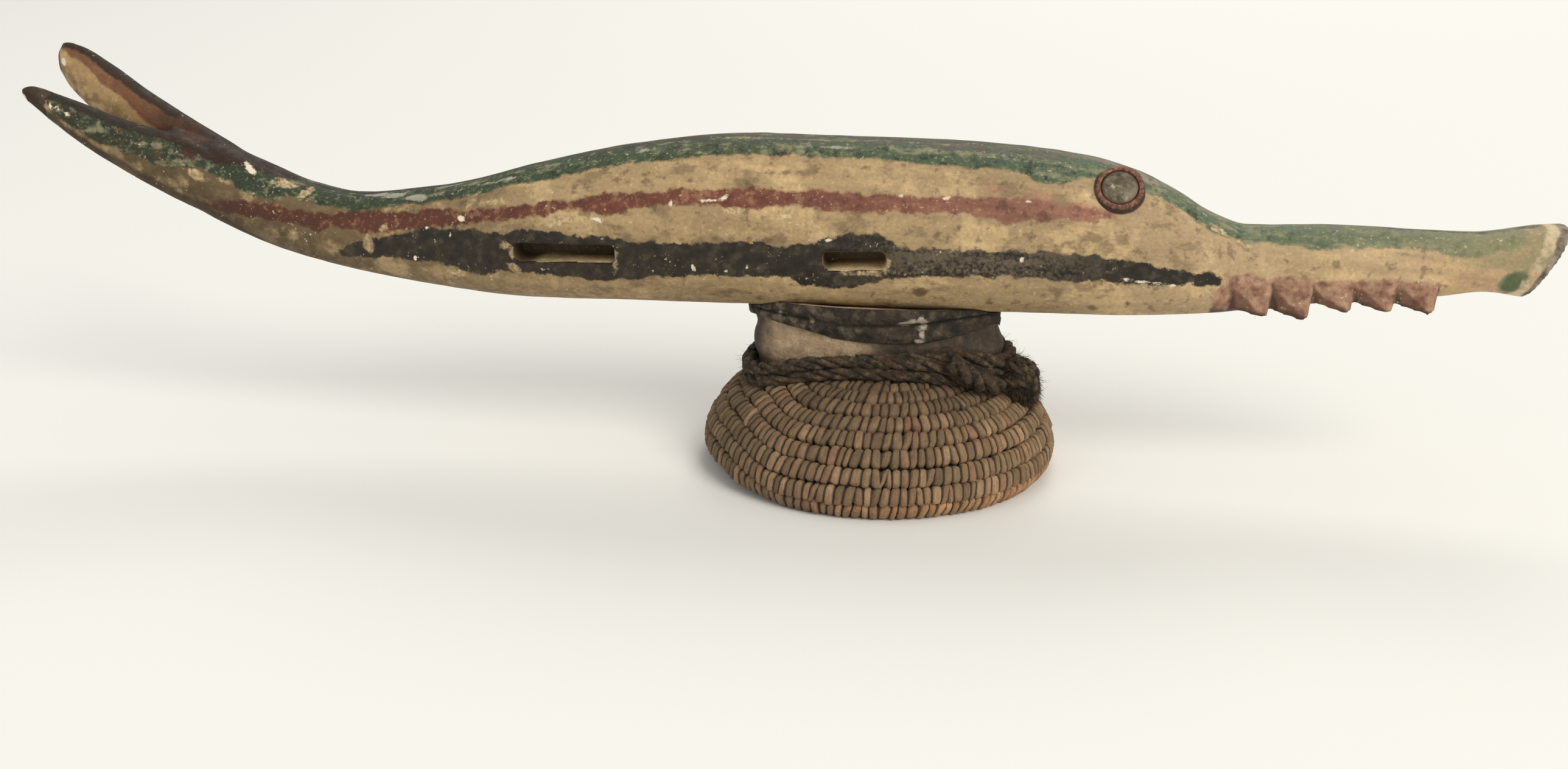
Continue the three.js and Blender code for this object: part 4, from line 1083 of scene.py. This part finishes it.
hide = Finish("worn_hide", {"Roughness": 0.75})
blotches, mottle, fine = hide.grain(30, 5), hide.grain(130, 5, 0.62), hide.grain(620)
dark = hide.ramp(mottle, [(0.32, (42, 33, 24)), (0.5, (62, 50, 37)), (0.68, (88, 72, 54))])
pale = hide.ramp(mottle, [(0.3, (132, 110, 84)), (0.48, (162, 139, 109)), (0.66, (182, 158, 126))])
patch = hide.plus(hide.noted("light_patch"), hide.swing(blotches, 70))
colour = hide.over(dark, pale, hide.past(patch, -14, 12))
colour = hide.over(colour, (48, 38, 28), hide.times(hide.noted("foot"), hide.past(mottle, 0.3, 0.6)))
colour = hide.over(colour, (42, 34, 28), hide.noted("rear"), 0.85)
# Painted shade: a thin dark line just under the fold above the rope
colour = hide.over(colour, (58, 44, 32), hide.noted("crease"), 0.8)
colour = hide.shaded(colour, fine, 0.8, 1.12)
neck.data.materials.append(hide.done(colour, hide.plus(mottle, hide.times(fine, 0.5)), 1.2))
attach(neck, "root")
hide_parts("neck")

# The cloth
# A strip of dark cotton, wound twice about the top of the neck in two soft rolls, the lower one sagging
# in the middle. The belly rests in it, and its end sticks out towards the tail. Light paint has run down.
LOWER_EDGE = [(-10, 92), (3, 91.4), (22, 89.2), (37, 86.5), (47, 84.3), (68, 82.8), (93, 83.2),
              (108, 85.4), (123, 88.6), (138, 92), (150, 94)]  # along, height on the near side
CREASE = [(-10, 97.2), (17, 96.2), (35, 94.9), (52, 93.1), (71, 93.4), (88, 94.8), (103, 96),
          (118, 98.4), (133, 99.6), (150, 100)]
THREAD_REACH = 70  # millimetres of thread to a radian round the neck
FOLDS = ((0.9, (0.3, 0.3, 1.7), 7, 31), (0.5, (0.6, 0.6, 1), 3, 32), (0.25, (1, 1, 1), 1.4, 33))
SPILT = [(91, 96.4, 4.6, 1.8, 14), (97.5, 99.2, 3, 1, 40), (99.4, 94.6, 1.7, 4, 0), (98.6, 90, 1.5, 3, 10),
         (96.8, 85.4, 3, 1.8, 0), (14, 97, 1.6, 1.2, 0), (34, 95, 1.5, 1, 0)]  # ovals, as the fish's


def strip_line(points, x, y, far_height):
    """A line of the strip as it lies on the near side, passing to a wavy level one on the far side."""
    near = smooth_line(points)(x)
    return near + eased(y, -20, 10) * (far_height - near)


def split_line(x, y):
    """The height of the crease between the two rolls, which falls towards the tail on the near side."""
    return strip_line(CREASE, x, y, 95 + np.sin(x / 23))


def wound_strip(sides=420):
    """The two turns as one sleeve of cloth. Its outside goes down over two rolls, each a half circle
    flattened by a power, then round the lower edge and back up inside, close to the neck."""
    turn = full_turn(sides)[None, :]
    x0, y0 = round_neck(turn, 95.0, 2)
    high = np.minimum(belly_above(x0, y0) - 0.6, NECK_TOP + 0.4)
    low = strip_line(LOWER_EDGE, x0, y0, 86 + 1.5 * np.sin(x0 / 31))
    split = np.minimum(split_line(x0, y0), high - 1.5)
    t = np.linspace(0, 1, 24)[:, None]
    round_roll = np.sin(np.pi * t) ** 0.6
    full = 0.35 + 0.65 * np.abs(np.sin(turn)) ** 0.7  # the rolls are pulled flat at both ends
    up = np.linspace(0, 1, 16)[:, None]
    height = np.concatenate([high + (split - high) * t, split + (low - split) * t[1:],
                             low + 0.3 + (high - low - 0.5) * up])
    outside = np.concatenate([0.8 + 0.3 * t + 1.9 * full * round_roll,
                              1.1 - 0.4 * t[1:] + 2.8 * full * round_roll[1:], 0.35 + 0 * (up + turn)])
    near_end = np.clip(1 - np.abs(turn - np.pi) / 0.32, 0, 1)
    outside = outside + 3.4 * near_end * (height > 91) * (outside > 0.6)
    x, y = round_neck(turn + 0 * height, height, outside)
    grid = np.stack([x, y, height], axis=2)
    flat = grid.reshape(-1, 3)
    folds = np.where((outside > 1.2).reshape(-1), layered(flat, *FOLDS), 0)  # only where it shows
    flat = flat + away_from_neck(flat) * folds[:, None]
    return closed(flat.reshape(grid.shape), loop=True)


places, faces = wound_strip()
cloth = piece("neck_strip", places, faces)
x, y, z = places.T
note(cloth, spilt=in_ovals(SPILT, x, lambda height: z - height, y < 0), height=z,
     round=np.arctan2(y, (x - NECK_PLACE) / 2) * THREAD_REACH, dusty=eased(x, 60, 20) * (y < 0),
     split=eased(np.abs(z - split_line(x, y)), 1.6, 0.2))

cotton = Finish("dark_cotton", {"Roughness": 0.95})
blotches, mottle, fine = cotton.grain(40, 5), cotton.grain(150, 5, 0.6), cotton.grain(800, 3)
colour = cotton.ramp(mottle, [(0.34, (26, 21, 15)), (0.48, (52, 44, 34)), (0.62, (84, 73, 58)),
                              (0.74, (116, 104, 86))])
colour = cotton.over(colour, (66, 50, 42), cotton.past(blotches, 0.5, 0.62), 0.4)
dust = cotton.times(cotton.noted("dusty"), cotton.past(mottle, 0.44, 0.62))
colour = cotton.over(colour, (104, 92, 76), dust)
thread = cotton.node("CombineXYZ", {0: cotton.noted("round"), 1: cotton.noted("height")}).outputs[0]
weave_across, weave_up = (
    cotton.node("TexWave", {"Vector": thread, "Scale": 0.42, "Distortion": 1.6, "Detail": 1.0},
                bands_direction=way).outputs["Fac"] for way in ("X", "Y"))
weave = cotton.node("Math", {0: weave_across, 1: weave_up}, operation="MAXIMUM").outputs[0]
colour = cotton.shaded(colour, weave, 0.92, 1.04, 0.2, 1.0)
colour = cotton.shaded(colour, fine, 0.8, 1.15)
spill = cotton.past(cotton.plus(cotton.noted("spilt"), cotton.swing(mottle, 6)), -0.6, 0.8)
colour = cotton.over(colour, (192, 180, 160), spill, 0.85)
# Painted shade in the crease between the two rolls
colour = cotton.over(colour, (20, 16, 12), cotton.noted("split"), 0.75)
matted = cotton.plus(cotton.times(weave, 0.2), cotton.plus(mottle, fine))
cloth.data.materials.append(cotton.done(colour, matted, 1.0))
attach(cloth, "root")
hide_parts("neck_cloth")

# The rope
# A three-ply rope of dark bast fibre, wound twice and a bit round the foot of the neck where it lies on
# the cap, with a doubled part that comes over the turns from above and one frayed knot at the end.
CORD_TURNS, CORD_RADIUS, CORD_HAIRS = 2.22, 3.5, 3400
CORD_START, SLACK_CORNER, SLACK_SPREAD, SLACK = -14, -133, 50, 6  # degrees round the neck, and mm
TUCKED_FROM = 2.06
DOUBLED = [(117, -43, 77), (126, -44.5, 71), (135, -39, 64), (144, -27, 58)]
DOUBLED_POINTS, DOUBLED_HAIRS = 60, 500
KNOT_PLACE, KNOT_SIZE, KNOT_LEAN = np.array([157.0, -14, 57]), np.array([11.5, 12, 16]), 0.42
KNOT_LOOPS = ((0.2, 0.3, 0), (1.2, -0.2, 1), (-0.6, 0.9, 2), (0.7, 1.3, 4))  # two leans, and a start
KNOT_HAIRS = 2600
LUMPS = ((0.09, (1, 1, 1), 0.55, 46), (0.06, (1, 1, 0.35), 0.2, 47))


def cord_line(turns):
    """The rope's middle: it starts by the knot, goes round clockwise and climbs a rope's width on the
    far side of each turn, and stands off the neck a little at the near corner by the tail. Its end is
    tucked down behind the turn below. It wanders by half a millimetre."""
    whole = np.floor(turns)
    degrees = CORD_START - 360 * (turns - whole)
    away = np.clip((degrees - SLACK_CORNER) / SLACK_SPREAD, -1, 1)
    tucked = eased(turns, TUCKED_FROM, CORD_TURNS)
    outside = CORD_RADIUS + 0.6 + SLACK * (1 - away ** 2) ** 2 - 1.5 * tucked
    turn = np.radians(degrees)
    lift = 4 + (2 * CORD_RADIUS + 0.25) * (whole + eased(turns - whole, 0.6, 1)) - 5 * tucked
    height = over_cap(*round_neck(turn, FOOT_LEVEL, outside)) + lift
    wander = [0.5 * unevenness(np.c_[turns * 20, 0 * turns, 0 * turns + k], 1.0, 40) for k in range(3)]
    return np.stack([*round_neck(turn, height, outside), height], axis=1) + np.stack(wander, axis=1)


def evenly(line, step):
    """The line's points at an even spacing, and their distances from its start."""
    run = np.concatenate([[0], np.cumsum(np.linalg.norm(np.diff(line, axis=0), axis=1))])
    at = np.linspace(0, run[-1], max(4, int(run[-1] / step)))
    return np.stack([np.interp(at, run, line[:, k]) for k in range(3)], axis=1), at


def square_to(line, away):
    """Two directions square to a line at each of its points, the first of them square to away too."""
    ahead = unit(np.gradient(line, axis=0))
    out = unit(np.cross(np.array(away, float), ahead))
    return out, np.cross(ahead, out)


def tube(line, radius, sides, away):
    """A closed tube: a circle whose radius changes along it, carried along a line. Its skin is uneven,
    as of fibres that run with it."""
    out, up = square_to(line, away)
    turn = full_turn(sides)[None, :, None]
    i, k = np.indices((len(line), sides)).reshape(2, -1)
    fibres = unevenness(np.c_[i * 0.12, k, 0 * i + radius[0]], 1.0, 49).reshape(len(line), sides, 1)
    size = radius[:, None, None] * (1 + 0.16 * fibres)
    return closed(line[:, None] + size * (np.cos(turn) * out[:, None] + np.sin(turn) * up[:, None]))


def plied(line, radius, lay, seed, ending=0.0, plies=3, sides=10, step=1.4, away=(0, 0, 1)):
    """A laid rope: each ply is a tube whose line winds round the rope's own, and swells and thins. If
    it has an ending, it thins by that share over its last twelfth."""
    line, run = evenly(line, step)
    out, up = square_to(line, away)
    thin = 1 - ending * eased(run / run[-1], 0.92, 1.0)
    bodies = []

    def uneven(row, size, its_seed):
        """Unevenness along the rope, in a row of the lattice for each ply."""
        return unevenness(np.c_[run, run * 0 + row, run * 0], size, its_seed)

    for ply in range(plies):
        twist = (2 * np.pi * (run / lay + ply / plies) + 1.3 * uneven(5 * ply, 24, seed + 2))[:, None]
        loose = thin * (1 + 0.25 * uneven(9 * ply, 11, seed))
        centre = line + 0.5 * radius * loose[:, None] * (np.cos(twist) * out + np.sin(twist) * up)
        swell = 1 + 0.28 * uneven(7 * ply, 6, seed + 1)
        bodies.append(tube(centre, 0.53 * radius * thin * swell, sides, away))
    return bodies


winding = cord_line(np.linspace(0, CORD_TURNS, 1400))
at = np.linspace(0, 1, DOUBLED_POINTS)
doubled_rows = np.c_[np.linspace(0, 1, len(DOUBLED)), DOUBLED]
doubled = np.stack([line(at) for line in lines_along(doubled_rows)], axis=1)
bodies = plied(winding, 4.1, 34, 41, ending=0.5) + plied(doubled, 5.6, 38, 43, away=(1, 1, 0.2))
rng = np.random.default_rng(44)
pick = rng.integers(10, len(winding) - 10, CORD_HAIRS)
ahead = unit(np.roll(winding, -3, axis=0) - winding)[pick]
roots = winding[pick] + unit(rng.normal(size=(CORD_HAIRS, 3))) * 3.4
bodies.append(hairs(roots, 0.6 * rng.normal(size=(CORD_HAIRS, 3)) + 0.9 * ahead,
                    rng.uniform(2.5, 7, CORD_HAIRS), 0.14, rng, bend=0.9))
roots = doubled[rng.integers(0, DOUBLED_POINTS, DOUBLED_HAIRS)]
roots = roots + unit(rng.normal(size=(DOUBLED_HAIRS, 3))) * 4.6
bodies.append(hairs(roots, 0.6 * rng.normal(size=(DOUBLED_HAIRS, 3)) + (0.6, 0.3, -0.7),
                    rng.uniform(3, 7, DOUBLED_HAIRS), 0.16, rng, bend=0.8))
rope = piece("bast_rope", *together(bodies))


def on_the_knot(unit_places):
    """A place of the unit ball, carried to the knot: scaled, leant back and put in place."""
    c, s = math.cos(-KNOT_LEAN), math.sin(-KNOT_LEAN)
    px, py, pz = (unit_places * KNOT_SIZE).T
    return np.stack([px * c + pz * s, py, -px * s + pz * c], axis=1) + KNOT_PLACE


# The knot: the rope's ends crossed over each other in a lump, all frayed and hanging down
u, v = np.meshgrid(np.linspace(0, 2 * np.pi, 72, endpoint=False), np.linspace(-1.45, 1.45, 44))
ball = np.stack([np.cos(v) * np.cos(u), np.cos(v) * np.sin(u), np.sin(v)], axis=2)
flat_ball = ball.reshape(-1, 3)
lumpy = flat_ball * (1 + layered(flat_ball, *LUMPS))[:, None]
bodies = [closed(on_the_knot(0.9 * lumpy).reshape(ball.shape))]
for seed, (lean_x, lean_y, start) in enumerate(KNOT_LOOPS):
    a = np.linspace(start, start + 5.2, 90)
    loop_line = unit(np.stack([np.cos(a), np.sin(a), 0.5 * np.sin(2 * a + start)], axis=1))
    loop_line = loop_line @ np.array(Matrix.Rotation(lean_x, 3, "X") @ Matrix.Rotation(lean_y, 3, "Y"))
    bodies += plied(on_the_knot(loop_line * 0.86), 3.2, 24, 50 + seed, away=(0.3, 0.9, 0.4))
on_ball = unit(rng.normal(size=(KNOT_HAIRS, 3)))
down = np.array((0.25, 0, -1.0))
ways = down - 0.8 * (on_ball @ down)[:, None] * on_ball
ways = ways + 0.35 * rng.normal(size=(KNOT_HAIRS, 3)) + 0.25 * on_ball
lengths = rng.uniform(2.5, 6.5, KNOT_HAIRS)
bodies.append(hairs(on_the_knot(on_ball * 0.97), ways, lengths, 0.16, rng, bend=0.6))
knot = piece("frayed_knot", *together(bodies))

bast = Finish("bast_fibre", {"Roughness": 0.95})
blotches, mottle, fine = bast.grain(45), bast.grain(260, 5, 0.65), bast.grain(1300, 3)
colour = bast.ramp(mottle, [(0.34, (30, 24, 17)), (0.48, (58, 47, 34)), (0.6, (90, 74, 54)),
                            (0.72, (124, 105, 78))])
colour = bast.over(colour, (78, 58, 41), bast.past(blotches, 0.48, 0.62), 0.5)
colour = bast.shaded(colour, fine, 0.72, 1.2)
bast_fibre = bast.done(colour, bast.plus(fine, mottle), 0.7)
for part in (rope, knot):
    part.data.materials.append(bast_fibre)
    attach(part, "root")
    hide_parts("neck_rope")
